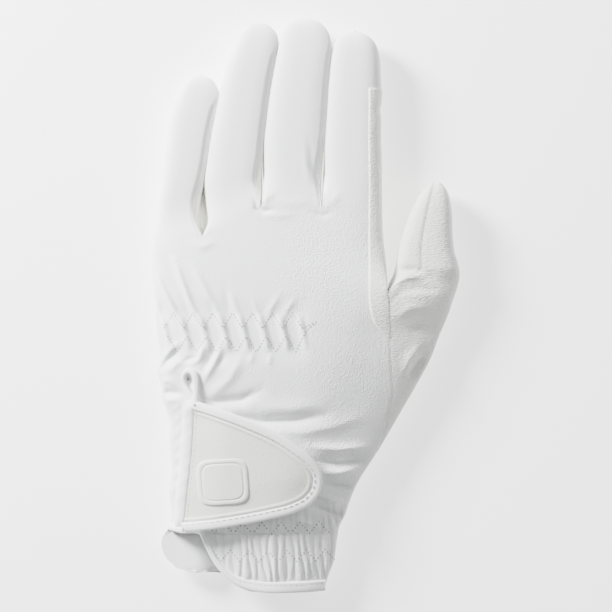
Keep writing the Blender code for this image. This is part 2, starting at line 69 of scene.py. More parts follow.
# Edges that are looked up by y are (y, x), and the crown is (y, height). Crotches, outlines and runs
# that turn are (x, y).
SEAM_HEIGHT = 8.8
PALM_FLOOR = 1.0
WALL = 0.8
SHARP_CORNER = math.radians(65)
OUTER_EDGE = ((-118, -50), (-105, -53), (-92, -55.4), (-86, -54.4), (-76, -55.2), (-66, -54.5), (-56, -55.2),
              (-46, -55.4), (-37, -58.4), (-32, -58.8), (-27, -60.2), (-20, -59.4), (-7, -60.7), (3, -61.2),
              (15, -62.3), (25, -62.1), (38, -60.3), (60, -57.5))
THUMB_EDGE = ((-118, 8.8), (-111, 10.9), (-106, 12.8), (-96.5, 14.3), (-91, 15.3), (-86, 17.8), (-81, 19.4),
              (-71.6, 23.6), (-61.7, 30), (-51.8, 35.9), (-41.8, 41.7), (-31.9, 47.4), (-21.9, 52.8),
              (-12, 56.6), (-2, 60.8), (3, 62.4), (8, 64.1), (40, 65.0))
INDEX_EDGE = ((-6, 36.0), (3, 34.9), (10, 34.5), (18, 34.1), (28, 33.2), (40, 32.6), (60, 32.6))
THUMB_SEAM = ((-62, 29.7), (-57, 32.2), (-50.3, 34.2), (-42.6, 36.0), (-34, 37.5), (-27.5, 37.0), (-13, 36.2),
              (-0.4, 35.6), (6.5, 34.9))
VENT_EDGE = ((-117.6, -20.5), (-116.4, -24), (-112.2, -30.6), (-106.2, -36), (-98.3, -40.2), (-93.4, -42.3))
CROWN = ((-118, 15.4), (-104, 16.2), (-92, 16.8), (-62, 18.2), (-20, 21.0), (8, 20.4), (42, 16.4), (60, 15.4))
CROTCHES = ((-61.9, 29.0), (-41.2, 29.2), (-17.0, 41.4), (8.1, 41.2), (32.6, 38.5))
THUMB_CROTCH = (34.9, 6.5)


def curve_through(knots, at):
    """The smooth curve through (place, value) knots: a cubic on each stretch, whose slope at a knot
    is that of the line between its neighbours. It is constant past both ends."""
    place, value = np.array(knots, float).T
    slope = np.gradient(value, place)
    at = np.clip(at, place[0], place[-1])
    k = np.clip(np.searchsorted(place, at, side="right") - 1, 0, len(place) - 2)
    step = place[k + 1] - place[k]
    t = (at - place[k]) / step
    return (value[k] * (1 + 2 * t) * (1 - t) ** 2 + value[k + 1] * t * t * (3 - 2 * t)
            + step * (slope[k] * t * (1 - t) ** 2 - slope[k + 1] * t * t * (1 - t)))


def ramp(low, high, value):
    """0 below low, 1 above high, and an S-shaped rise between: 3t^2 - 2t^3."""
    t = np.clip((value - low) / (high - low), 0, 1)
    return t * t * (3 - 2 * t)


def bump(value, width):
    """A bell: exp(-(value / width)^2)."""
    return np.exp(-(value / width) ** 2)


def dome(share, power):
    """Height of a superellipse at -1 to 1 of its half width: (1 - |share|^power)^(1/power)."""
    return np.clip(1 - np.abs(share) ** power, 0, 1) ** (1 / power)


def outer_edge(y):
    """The outer edge's x at y."""
    return curve_through(OUTER_EDGE, y)


def thumb_edge(y):
    """The edge's x at y on the thumb side, which takes in the thumb's root."""
    return curve_through(THUMB_EDGE, y)


def index_edge(y):
    """The edge's x at y past the thumb's crotch, beside the index finger."""
    return curve_through(INDEX_EDGE, y)


def share_between(x, low, high):
    """Where x lies between two edges, from -1 at the low one to 1 at the high one."""
    return np.clip((2 * x - low - high) / (high - low), -1, 1)


def knuckle_share(y):
    """0 where the hand's section still takes in the thumb, 1 where it ends at the index side."""
    return ramp(THUMB_CROTCH[1] - 2, THUMB_CROTCH[1] + 22, y)


def hand_top(x, y):
    """The unfolded back: SEAM_HEIGHT plus the crown's rise times a dome across the hand, from the
    outer edge to the thumb's edge, and past the thumb's crotch to the index edge. Below the thumb
    the dome is rounder on the thumb's side."""
    rise = curve_through(CROWN, y) - SEAM_HEIGHT
    share = share_between(x, outer_edge(y), thumb_edge(y))
    wide = dome(share, 2.35 - 0.75 * (1 - ramp(-12, 12, y)) * ramp(-0.2, 0.6, share))
    share = share_between(x, outer_edge(y), index_edge(y))
    narrow = dome(share, 2.35 + 1.2 * ramp(0.2, 0.8, share))
    return SEAM_HEIGHT + rise * (wide + (narrow - wide) * knuckle_share(y))


def hand_bottom(x, y):
    """The palm's underside: flat on the floor's side, with a tight round rise at both edges."""
    drop = SEAM_HEIGHT - PALM_FLOOR
    wide = dome(share_between(x, outer_edge(y), thumb_edge(y)), 3.6)
    narrow = dome(share_between(x, outer_edge(y), index_edge(y)), 3.6)
    return SEAM_HEIGHT - drop * (wide + (narrow - wide) * knuckle_share(y))


# Creases as they lie: the points along each, its height before FOLD_RELIEF (a valley is negative)
# and its half width.
FOLD_RELIEF = 1.2
FOLDS = (
    # fanning up from the gathers at the outer side
    (((-61.5, 15.5), (-54.5, 2.6), (-48.7, -8.3)), 1.5, 1.3),
    (((-60.5, 4.0), (-57, -2), (-54.5, -7.0)), -0.9, 1.5),
    (((-58.5, 24), (-53, 14), (-49.5, 5)), -0.5, 2.2),
    (((-52.5, 19), (-45.9, 1.5), (-40.3, -8.3)), 1.5, 1.3),
    (((-50, 9), (-46.6, -2), (-44.5, -7)), -0.7, 1.5),
    (((-45, 17), (-36, 0.4), (-32.4, -7.5)), 0.9, 1.6),
    (((-38, 4), (-35.6, -5)), -0.5, 1.3),
    (((-31.5, 8), (-29.6, -4)), -0.4, 1.6),
    (((-29.8, 7), (-27.2, 0), (-24.6, -7)), 0.45, 1.3),
    (((-20.5, 4), (-16.6, -6.5)), 0.35, 1.2),
    (((-9.6, 5), (-13.2, -1.5), (-14.5, -5)), 0.5, 1.2),
    (((-2.5, 4), (-6.5, -1.5), (-8.4, -6)), 0.45, 1.2),
    # below the gathers
    (((-58.2, -21.8), (-54, -17.5), (-50.5, -14.5)), 1.0, 1.3),
    (((-59.5, -27.0), (-56, -22.6), (-50.4, -17.7)), -0.9, 1.0),
    (((-50.0, -23.0), (-46, -21.2), (-42.0, -20.6)), -0.9, 1.0),
    (((-44.9, -23.4), (-41.8, -20.5), (-40, -14.8)), 1.2, 1.3),
    (((-40.2, -26), (-37.6, -21), (-35.4, -16.6)), -1.1, 1.3),
    (((-41.2, -31.9), (-36.7, -23.8), (-32, -13.9)), 1.0, 1.5),
    (((-34.5, -25), (-31, -19)), -0.5, 1.5),
    (((-38.5, -37), (-29.8, -29.6), (-24, -19.2)), 0.8, 2.4),
    (((-21.5, -23.5), (-19.8, -18)), 0.4, 1.3),
    (((-13.8, -24), (-12.6, -18.5)), 0.4, 1.3),
    # round the head of the vent
    (((-55.5, -27.2), (-51.5, -23.2), (-46.5, -21.6)), 0.8, 1.5),
    (((-59.5, -31), (-55, -30.2), (-51.6, -32.6)), 0.8, 1.4),
    (((-59, -35), (-54.5, -35.2), (-49.6, -35.6)), -1.5, 1.5),
    (((-58.5, -39.5), (-55, -38.4), (-51, -38.6)), 0.5, 1.3),
    (((-41.5, -37), (-36.7, -38.9), (-25.2, -38.0), (-17, -34)), -1.5, 2.0),
    # the hollow above the tab, and the folds to the thumb side of its nose
    (((-31, -43.6), (-17.1, -46.6), (-3.3, -46.2), (9, -44.2)), -1.9, 2.0),
    (((-20, -40.5), (-5, -41.5), (8, -39.5)), 0.6, 3.0),
    (((-12, -51), (0, -51.4), (14, -48.6), (25, -45)), 0.8, 2.6),
    (((3, -57.2), (14, -58.3), (28, -57.6)), 1.5, 1.9),
    (((6, -62.8), (15, -64.2), (24, -63.6)), -2.0, 1.7),
    (((8, -67.8), (15, -68), (23, -66.8)), 1.6, 1.7),
    (((7.5, -72.4), (14, -74), (20, -74.4)), -1.8, 1.6),
    (((5.5, -76.6), (12, -79.4), (17.5, -80.6)), 1.6, 1.5),
    (((3.5, -81.4), (10, -84.4), (17.4, -86.8)), -1.9, 1.5),
    (((-6, -86.5), (2, -88.6), (9, -90.6)), 0.9, 1.3),
    # finger roots: the pinch between ring and middle, and the slack beside the index root
    (((-19.6, 44), (-18.6, 40.6), (-16.2, 39.2), (-12, 39.6)), -1.1, 0.9),
    (((-16.4, 43.4), (-14.4, 45.0), (-11.2, 46.8)), 0.7, 0.9),
    (((-17, 37.8), (-10, 37.2), (-3, 38.0)), 0.35, 1.6),
    (((-12, 43.0), (-4, 42.6), (4, 43.6)), 0.3, 2.0),
    (((2.4, 70), (4.6, 58), (6.4, 47)), -0.35, 1.3),
    (((0.6, 66), (1.8, 56), (3.0, 48)), 0.25, 1.2),
    (((3.4, 62), (6.2, 56)), 0.3, 0.8),
    (((2.4, 56), (5.4, 50.4)), 0.3, 0.8),
    (((3.6, 50), (6.6, 46)), 0.3, 0.8),
    (((4, 38.8), (8.6, 37.4), (12, 39)), -0.5, 1.0),
    (((11, 42), (15.5, 47)), 0.45, 1.4),
    (((-45.5, 26.5), (-41, 24.6), (-36, 26.5)), 0.5, 1.8),
    # the thumb's root
    (((36.2, 9.5), (42, 12.2), (48.5, 12.4)), 1.5, 1.5),
    (((38.0, 15.4), (43, 15.4), (48, 14.6)), -1.3, 1.3),
    (((36.5, 3.0), (41, 6.6), (48, 7.6), (57, 6.6)), -0.9, 1.8),
    (((37.5, -4.5), (44, -0.5), (52, 0.2)), 0.7, 2.2),
    (((50.6, -20.5), (47.2, -24.6), (43.4, -30)), -1.7, 2.1),
    (((48.6, -15.5), (44.4, -21.0), (41.6, -28)), 0.9, 2.0),
    (((54, -13), (49, -9.5), (43, -9)), -0.5, 2.2),
)


def distance_to_line(x, y, points):
    """Distance from each place to a line through points, and how far along it, from 0 to 1."""
    points = np.array(points, float)
    lengths = np.linalg.norm(np.diff(points, axis=0), axis=1)
    total, before = lengths.sum(), 0.0
    nearest, along = np.full(x.shape, 1e9), np.zeros(x.shape)
    for a, b, length in zip(points[:-1], points[1:], lengths):
        t = np.clip(((x - a[0]) * (b[0] - a[0]) + (y - a[1]) * (b[1] - a[1])) / length ** 2, 0, 1)
        d = np.hypot(x - a[0] - t * (b[0] - a[0]), y - a[1] - t * (b[1] - a[1]))
        closer = d < nearest
        nearest = np.where(closer, d, nearest)
        along = np.where(closer, (before + t * length) / total, along)
        before += length
    return nearest, along


def folds(x, y):
    """The sum of all creases: each is FOLD_RELIEF times its height, times exp(-(distance / width)^1.6)
    across it, and thins as sin^0.7 to just under a quarter at its ends."""
    height = np.zeros(np.broadcast(x, y).shape)
    for points, rise, width in FOLDS:
        d, along = distance_to_line(x, y, points)
        across = np.exp(-(d / width) ** 1.6)
        height += FOLD_RELIEF * rise * across * np.sin(math.pi * np.clip(along, 0.04, 0.96)) ** 0.7
    return height


GATHER_X = (-60.0, 3.0)
GATHER_ROWS = (-5.4, -15.2)
ZIGZAG_PITCH = 8.1
ZIGZAG_DEPTH = 3.1
FIRST_PLEAT = -56.8
GATHER_LEAN = -0.27
CUFF_ROWS = (-90.6, -102.2)
CUFF_PITCH, CUFF_PLEAT = 7.8, 3.1


def gathers(x, y):
    """The pleats over both elastics. Behind the back each is a narrow ridge from one corner of the
    upper zigzag to one of the lower, cos^6 across. At the cuff they are cusped and wander, about
    five to every two pitches of the zigzag."""
    low, high = GATHER_X
    phase = math.pi * (x - FIRST_PLEAT - GATHER_LEAN * (y + 8.5)) / ZIGZAG_PITCH
    inside = ramp(low - 4, low + 3, x) * (1 - ramp(high - 5, high + 1, x))
    band = ramp(-19.5, -14.5, y) * (1 - ramp(-7.0, -1.5, y))
    pull = ramp(-26, -15, y) * (1 - ramp(-6, 6, y))
    back = inside * (1.35 * band * np.cos(phase) ** 6 - 0.7 * pull)
    wander = 0.55 * np.sin(0.31 * x + 0.19 * y) + 0.3 * np.sin(0.9 * x - 0.33 * y)
    phase = math.pi * (x + 0.10 * y + wander) / CUFF_PLEAT
    pinch = 1 - 0.45 * bump(y - CUFF_ROWS[0], 1.6) - 0.45 * bump(y - CUFF_ROWS[1], 1.6)
    vent = curve_through(VENT_EDGE, y)
    cuff = ramp(-114.5, -110, y) * (1 - ramp(-87, -79, y)) * ramp(2, 7, x - vent) * pinch
    uneven = 1 + 0.35 * np.sin(0.55 * x + 1.7)
    return back + cuff * (0.8 * uneven * np.abs(np.cos(phase)) ** 0.8 - 0.5)


def strip_puckers(x, y):
    """The narrow strip beside the tab's root: a smooth half-round roll along the root, and small
    uneven puckers between it and the glove's edge."""
    middle = curve_through(((-92, -51.2), (-77, -49.6), (-60, -47.6), (-38, -46.4)), y)
    on_strip = ramp(-93, -88, y) * (1 - ramp(-42, -37, y))
    roll = 1.5 * np.sqrt(np.clip(1 - ((x - middle) / 2.5) ** 2, 0, 1))
    pucker = np.sin(y * 0.52 + 2.6 * np.sin(y * 0.19) + 0.6 * x) + 0.6 * np.sin(y * 1.13 + 1.0 - 0.9 * x)
    return on_strip * (roll * (1 + 0.05 * pucker) + 0.24 * pucker * bump(x - middle + 4.2, 2.2))


VENT_HOLE = (-46.9, -29.6)


def back_surface(x, y):
    """The back as it lies: the unfolded back, its creases, pleats and puckers, which fade at both
    sides, a dimple at the vent's head, and a sag along the vent's loose edge."""
    hole = np.hypot(x - VENT_HOLE[0], (y - VENT_HOLE[1]) * 0.8)
    dimple = -1.2 * bump(hole, 2.6) - 3.5 * bump(hole, 0.75)
    vent = curve_through(VENT_EDGE, y)
    sag = -3.6 * bump(x - vent, 14) * (1 - ramp(-96, -86, y))
    shape = folds(x, y) + gathers(x, y) + strip_puckers(x, y)
    free = ramp(0, 3.5, x - outer_edge(y)) * ramp(0, 3.0, thumb_edge(y) - x)
    return hand_top(x, y) + shape * free + dimple + sag


def normals_of(grid):
    """Unit normals of a grid of points: the cross product of its row and column directions."""
    along, across = np.gradient(grid, axis=0), np.gradient(grid, axis=1)
    normal = np.cross(along, across)
    size = np.linalg.norm(normal, axis=2, keepdims=True)
    normal = normal / np.maximum(size, 1e-9)
    poor = size[..., 0] < 1e-6
    normal[-1] = np.where(poor[-1][:, None], normal[-2], normal[-1])
    return normal


def edge_distances(grid):
    """Distances over a sheet to its first and last columns, then to its first and last rows: the
    steps' lengths summed."""
    step = np.linalg.norm(np.diff(grid, axis=1), axis=2)
    across = np.concatenate([np.zeros((len(grid), 1)), np.cumsum(step, axis=1)], axis=1)
    step = np.linalg.norm(np.diff(grid, axis=0), axis=2)
    along = np.concatenate([np.zeros((1, grid.shape[1])), np.cumsum(step, axis=0)], axis=0)
    return across, across[:, -1:] - across, along, along[-1:] - along


def seam_dip(grid, first, last, depth=0.3, reach=0.75):
    """Pulls a sheet's first and last columns, where they are sewn, inwards along the normal, by depth
    times a bell of the distance to them, and puffs the leather up a little beside them. It fades
    where the sheet is narrow."""
    from_first, from_last, _, _ = edge_distances(grid)
    move = np.zeros(from_first.shape)
    for sewn, distance in ((first, from_first), (last, from_last)):
        if sewn:
            move += depth * (0.33 * bump(distance - 2.3 * reach, 1.1 * reach) - bump(distance, reach))
    move *= ramp(1.5, 6.0, from_first[:, -1:])
    return grid + normals_of(grid) * move[..., None]


def put_mesh(name, points, faces, material, lining=None, lined=None):
    """A mesh object from plan points in millimetres. Points that coincide become one. Faces marked
    in lined take the lining's material."""
    places = np.asarray(points, float).reshape(-1, 3).copy()
    places[:, :2] += plan_shift
    places, index = np.unique(np.round(places, 4), axis=0, return_inverse=True)
    faces = index.reshape(-1)[np.asarray(faces)]
    same = faces == np.roll(faces, -1, axis=1)
    whole, narrow = ~same.any(axis=1), same.sum(axis=1) == 1
    triangles = [[v for v, twin in zip(face, twins) if not twin]
                 for face, twins in zip(faces[narrow].tolist(), same[narrow].tolist())]
    mesh = bpy.data.meshes.new(name)
    mesh.from_pydata((places * MM).tolist(), [], faces[whole].tolist() + triangles)
    mesh.polygons.foreach_set("use_smooth", np.full(len(mesh.polygons), True))
    mesh.materials.append(material)
    if lining:
        mesh.materials.append(lining)
        inside = np.concatenate([lined[whole], lined[narrow]]).astype(np.int32)
        mesh.polygons.foreach_set("material_index", inside)
    mesh.set_sharp_from_angle(angle=SHARP_CORNER)
    piece = bpy.data.objects.new(name, mesh)
    bpy.context.scene.collection.objects.link(piece)
    return piece


def grid_faces(rows, columns, offset=0, flip=False):
    """Quads between neighbouring points of a grid."""
    index = offset + np.arange(rows * columns).reshape(rows, columns)
    quads = np.stack([index[:-1, :-1], index[1:, :-1], index[1:, 1:], index[:-1, 1:]], -1).reshape(-1, 4)
    return quads[:, ::-1] if flip else quads


def put_sheet(name, grid, material, wall=WALL, lining=None):
    """A sheet of leather: the grid is its outer face, its inner face lies a wall's thickness inside,
    and a rim of quads joins them all round."""
    rows, columns = grid.shape[:2]
    inner = grid - normals_of(grid) * wall
    count = rows * columns
    index = np.arange(count).reshape(rows, columns)
    around = np.concatenate([index[0, :-1], index[:-1, -1], index[-1, :0:-1], index[:0:-1, 0]])
    after = np.roll(around, -1)
    rim = np.stack([around, after, after + count, around + count], axis=-1)
    outside = grid_faces(rows, columns)
    faces = np.concatenate([outside, grid_faces(rows, columns, count, True), rim])
    lined = np.repeat([0, 1, 0], [len(outside), len(outside), len(rim)])
    points = np.concatenate([grid.reshape(-1, 3), inner.reshape(-1, 3)])
    return put_mesh(name, points, faces, material, lining, lined)


def leather(name, colour, tint, grain=1500, relief=0.25, roughness=0.52, sheen=0.25, stretch=(1, 1, 1),
            fade=()):
    """Coated synthetic leather: two close tones in soft patches, and a pebbled grain from two sizes
    of noise, whose bump is lower where the leather is pulled smooth. Each fade is an axis and the
    two places in metres between which the grain rises from a quarter to its whole depth."""
    made = bpy.data.materials.new(name)
    made.use_nodes = True
    nodes, links = made.node_tree.nodes, made.node_tree.links

    def put(node, sockets, **settings):
        """Gives a node its settings, and each of its sockets a number or another node's output."""
        for setting, value in settings.items():
            setattr(node, setting, value)
        for socket, value in sockets.items():
            if isinstance(value, bpy.types.NodeSocket):
                links.new(value, node.inputs[socket])
            else:
                node.inputs[socket].default_value = value
        return node.outputs

    def combine(operation, first, second):
        """The sum or the product of two outputs."""
        return put(nodes.new("ShaderNodeMath"), {0: first, 1: second}, operation=operation)["Value"]

    place = nodes.new("ShaderNodeTexCoord").outputs["Object"]
    pulled = put(nodes.new("ShaderNodeMapping"), {"Vector": place, "Scale": stretch})["Vector"]
    patches = put(nodes.new("ShaderNodeTexNoise"), {"Vector": place, "Scale": 45, "Detail": 3})["Fac"]
    tones = put(nodes.new("ShaderNodeMix"), {"Factor": patches, "A": (*colour, 1), "B": (*tint, 1)},
                data_type="RGBA")
    pebbles = put(nodes.new("ShaderNodeTexVoronoi"), {"Vector": pulled, "Scale": grain, "Smoothness": 0.6},
                  feature="SMOOTH_F1")
    wrinkles = put(nodes.new("ShaderNodeTexNoise"), {"Vector": pulled, "Scale": grain * 0.5, "Detail": 4})
    level = combine("MULTIPLY", combine("ADD", pebbles["Distance"], wrinkles["Fac"]), patches)
    for axis, none, whole in fade:
        part = put(nodes.new("ShaderNodeSeparateXYZ"), {"Vector": place})[axis]
        rise = put(nodes.new("ShaderNodeMapRange"),
                   {"Value": part, "From Min": none, "From Max": whole, "To Min": 0.25, "To Max": 1.0},
                   interpolation_type="SMOOTHSTEP")
        level = combine("MULTIPLY", level, rise["Result"])
    bumps = put(nodes.new("ShaderNodeBump"), {"Strength": relief, "Distance": 0.0006, "Height": level})
    put(nodes["Principled BSDF"], {
        "Base Color": tones["Result"], "Normal": bumps["Normal"], "Roughness": roughness,
        "Sheen Weight": sheen, "Sheen Roughness": 0.6, "Specular IOR Level": 0.35})
    return made


back_leather = leather("back_leather", (0.82, 0.83, 0.835), (0.88, 0.885, 0.885), grain=2000, relief=0.85,
                       fade=(("X", -0.035, 0.012), ("Y", 0.052, 0.012)))
palm_leather = leather("palm_leather", (0.80, 0.80, 0.78), (0.85, 0.85, 0.83), relief=0.45)
lining_cloth = leather("lining_cloth", (0.90, 0.905, 0.92), (0.93, 0.935, 0.945), grain=4000, relief=0.08)

# Each finger's plan: its outer edge and the one on its thumb side from root to tip, its tip as
# (x, y), the height of its top, the seam's angle on its thumb side in degrees, and whether its outer
# side and its thumb side face another finger.
FINGERS = {
    "little": dict(
        outer=((29.0, -61.9), (38, -60.2), (50, -58.8), (62, -57.3), (72, -56.1), (79, -55.0), (86, -53.0),
               (92, -49.8)),
        inner=((29.2, -41.3), (34, -43.2), (42, -42.6), (50, -41.2), (60, -39.6), (70, -38.0), (80, -35.9),
               (87, -34.5), (92, -36.2)),
        tip=(-42.6, 96.0), top=13.9, seam=51, sewn=(False, True)),
    "ring": dict(
        outer=((29.2, -41.0), (34, -39.0), (42, -39.6), (50, -40.7), (60, -39.0), (70, -37.3), (80, -35.3),
               (90, -33.4), (97, -31.7), (104, -29.4), (111, -26.3), (115, -23.2)),
        inner=((41.4, -17.2), (46, -16.9), (56, -16.9), (70, -16.0), (80, -14.8), (90, -13.5), (100, -11.7),
               (108, -10.2), (112, -10.7), (115.4, -13.2)),
        tip=(-18.4, 117.7), top=15.0, seam=46, sewn=(True, True)),
    "middle": dict(
        outer=((41.4, -16.8), (46, -16.3), (56, -16.3), (70, -15.4), (80, -14.3), (90, -12.9), (100, -11.1),
               (108, -9.6), (113, -8.6), (117, -5.6)),
        inner=((41.2, 7.9), (50, 7.7), (60, 8.3), (70, 9.0), (80, 9.7), (90, 10.3), (100, 11.2), (107, 11.9),
               (112, 10.9), (116.4, 8.0)),
        tip=(0.6, 119.4), top=15.2, seam=42, sewn=(True, True)),
    "index": dict(
        outer=((41.2, 8.3), (50, 8.4), (60, 9.0), (70, 9.6), (80, 10.3), (90, 10.9), (100, 11.8), (106, 12.5),
               (110, 14.1), (112.6, 17.0)),
        inner=((38.5, 32.6), (50, 32.6), (60, 32.5), (72, 32.2), (76, 32.5), (80, 32.1), (86, 32.6),
               (96, 32.5), (102, 32.2), (108, 30.8), (112, 27.6)),
        tip=(22.4, 113.9), top=15.0, sewn=(True, False)),
}
SECTION_POWER = 3.0
PRESS, TOUCH = 1.6, 0.22
TOP_POINTS, SIDE_POINTS = 43, 15


def superellipse(angle, power):
    """The cosine and the sine of an angle, each times (|cos|^power + |sin|^power)^(-1/power)."""
    c, s = np.cos(angle), np.sin(angle)
    size = (np.abs(c) ** power + np.abs(s) ** power) ** (-1 / power)
    return c * size, s * size


class Finger:
    """A finger's surface as loops of points: each loop starts as a slice of the hand between two
    crotches, with upright sides, and turns into the finger's own round section up its length."""

    def __init__(self, left_crotch, right_crotch, spec, centre_height=7.7):
        """Takes the two crotches, the finger's plan, and the height of its section's middle."""
        self.left_crotch, self.right_crotch = left_crotch, right_crotch
        self.outer, self.inner, self.tip = spec["outer"], spec["inner"], spec["tip"]
        self.top, self.centre_height = spec["top"], centre_height
        self.sewn, self.seam = spec["sewn"], spec.get("seam", 0)
        self.root_reach = spec.get("root_reach", 17.0)

    def edge(self, knots, y):
        """An edge's x at y, smooth in the square root of the distance to the tip, so that the two
        edges meet in a round end."""
        tip_x, tip_y = self.tip
        roots = [(math.sqrt(tip_y - knot_y), x) for knot_y, x in reversed(knots)]
        return curve_through([(0.0, tip_x), *roots], np.sqrt(np.clip(tip_y - y, 0, None)))

    def loop_plan(self, count):
        """A back's shares of the width at the root, from the thumb side across, and per row the
        angles of a back's points in the finger's own section, and of a palm's, which go on round
        from the outer side. Angles are in radians up from the thumb side, and the seams sink
        towards the finger's side near the tip."""
        dense = np.sin(np.linspace(0, math.pi / 2, TOP_POINTS))
        even = np.linspace(0, 1, TOP_POINTS)
        share = {(True, True): 1 - 2 * even, (False, True): 1 - 2 * dense,
                 (True, False): (2 * dense - 1)[::-1]}
        right, left = (seam[:, None] for seam in self.seam_angles(count))
        top = right + (math.pi - left - right) * even
        bottom = math.pi + left + (math.pi - left - right) * even
        return share[self.sewn], top, bottom

    def seam_angles(self, count):
        """Where the back's two edges lie on the finger's own section, per row."""
        left_over = self.tip[1] - self.rows(count)
        sink = 0.35 + 0.65 * ramp(1.5, 16.0, left_over)
        return (math.radians(self.seam if self.sewn[1] else 0) * sink,
                math.radians(24.0 if self.sewn[0] else 0) * sink)

    def rows(self, count):
        """Row heights along the finger, close together at the tip: y is the tip less a square."""
        middle = (self.left_crotch[1] + self.right_crotch[1]) / 2
        t = np.linspace(0, 1, count)
        return self.tip[1] - (self.tip[1] - middle) * (1 - t) ** 2

    def place(self, base_share, angle, level, count):
        """Points for loop positions given as arrays: share of the width at the root, angle in the
        finger's own section, and level from 1 (top) to -1 (underside) at the root. Sides that meet
        another finger are pressed flat, and free sides start from the hand's own edge."""
        middle = (self.left_crotch[1] + self.right_crotch[1]) / 2
        slant = (self.right_crotch[1] - self.left_crotch[1]) / 2
        y_row = self.rows(count)[:, None]
        rise = y_row - middle
        turn = ramp(0, self.root_reach, rise)
        own_share, own_level = superellipse(angle, SECTION_POWER)
        share = base_share + (own_share - base_share) * turn
        y = y_row + slant * share * (1 - ramp(0, 26, rise))
        press = PRESS * ramp(12, 30, rise)
        flat_low, flat_high = self.edge(self.outer, y), self.edge(self.inner, y)
        low, high = flat_low - press * self.sewn[0], flat_high + press * self.sewn[1]
        x = (low + high) / 2 + share * (high - low) / 2
        touch = TOUCH * ramp(12, 30, rise)
        x = np.clip(x, flat_low - touch * self.sewn[0], flat_high + touch * self.sewn[1])
        end = np.tanh(np.sqrt(np.clip(self.tip[1] - y_row, 0, None)) / 2.1)
        up, down = (self.top - self.centre_height) * end, (self.centre_height - PALM_FLOOR) * end
        own = self.centre_height + own_level * np.where(own_level > 0, up, down)
        flat = np.clip(own, PALM_FLOOR, None)
        at = x
        if self.sewn == (False, True):
            at = x + (outer_edge(y) - flat_low) * (1 - share) / 2
        if self.sewn == (True, False):
            at = x + (index_edge(y) - flat_high) * (1 + share) / 2
        above, below = hand_top(at, y), hand_bottom(at, y)
        root = (above + below) / 2 + level * (above - below) / 2
        z = root + (flat - root) * turn
        upper = np.clip(level + (own_level - level) * turn, 0, 1)
        z = z + folds(x, y) * upper ** 2
        return np.stack([x, y, z], axis=-1)


FINGERS["little"]["outer"] = ((29.0, outer_edge(29.0)), *FINGERS["little"]["outer"][1:])
FINGERS["index"]["inner"] = ((38.5, index_edge(38.5)), *FINGERS["index"]["inner"][1:])
finger_shapes = {}
for (name, spec), left, right in zip(FINGERS.items(), CROTCHES[:-1], CROTCHES[1:]):
    finger_shapes[name] = Finger(left, right, spec)

# The hand's columns are those of the four finger roots, so that the sheets meet point to point.
root_rows = []
for shape in reversed(finger_shapes.values()):
    share, top_angle, _ = shape.loop_plan(2)
    root_rows.append(shape.place(share, top_angle, np.ones(TOP_POINTS), 2)[0])
web_row = np.concatenate([row if k == 0 else row[1:] for k, row in enumerate(root_rows)])
web_share = share_between(web_row[:, 0], outer_edge(web_row[:, 1]), index_edge(web_row[:, 1]))
web_share[0], web_share[-1] = 1, -1

BACK_HEM = -117.4
HAND_ROWS = 286


def back_left(y):
    """The back's outer edge: the glove's own edge, and below the tab the edge of the vent."""
    vent = curve_through(VENT_EDGE, y)
    return outer_edge(y) + (vent - outer_edge(y)) * (1 - ramp(-93.6, -92.2, y))


def back_right(y):
    """The back's and the palm's edge on the thumb side: the glove's edge at the wrist, the thumb's
    seam, then the index edge."""
    seam = curve_through(THUMB_SEAM, y)
    low = thumb_edge(y) + (seam - thumb_edge(y)) * ramp(-60.5, -54, y)
    return low + (index_edge(y) - low) * ramp(2.5, 7.5, y)


def hand_plan(left, right, hem):
    """Rows from the hem to the web in equal steps, and columns at the finger roots' shares."""
    t = np.linspace(0, 1, HAND_ROWS)[:, None]
    y = hem + (web_row[:, 1] - hem) * t
    low, high = left(y), right(y)
    return (low + high) / 2 + web_share * (high - low) / 2, y


x, y = hand_plan(back_left, back_right, BACK_HEM)
back_grid = np.stack([x, y, back_surface(x, y)], axis=-1)
back_skin = put_sheet("back_skin", seam_dip(back_grid, True, False, depth=0.14), back_leather)
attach(back_skin, "hand")
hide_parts("back_panel")

# The palm ---------------------------------------------------------------------
# One cut piece of smoother leather under the hand. Its outer wrist corner runs on past the vent
# as an underlap, whose smooth inner face shows below the tab.

UNDERLAP = ((-110.6, -38), (-109.6, -47), (-106.4, -54.2), (-101.4, -58.0), (-96.5, -58.4), (-91.5, -55.6))
PALM_HEM, HEM_BOW = (-116.0, -109.8), 1.3


def palm_left(y):
    """The palm's outer edge: the glove's own edge, and below the tab the edge of the underlap."""
    lap = curve_through(UNDERLAP, y)
    return lap + (outer_edge(y) - lap) * ramp(-93.5, -89.5, y)


def palm_surface(x, y):
    """The palm's underside, which at the underlap lies flatter and a little higher."""
    lap = (1 - ramp(-95, -86, y)) * (1 - ramp(-44, -28, x))
    z = hand_bottom(np.clip(x, outer_edge(y), None), y)
    return z + (6.6 + 0.5 * np.sin(0.16 * (x + 50)) - z) * lap


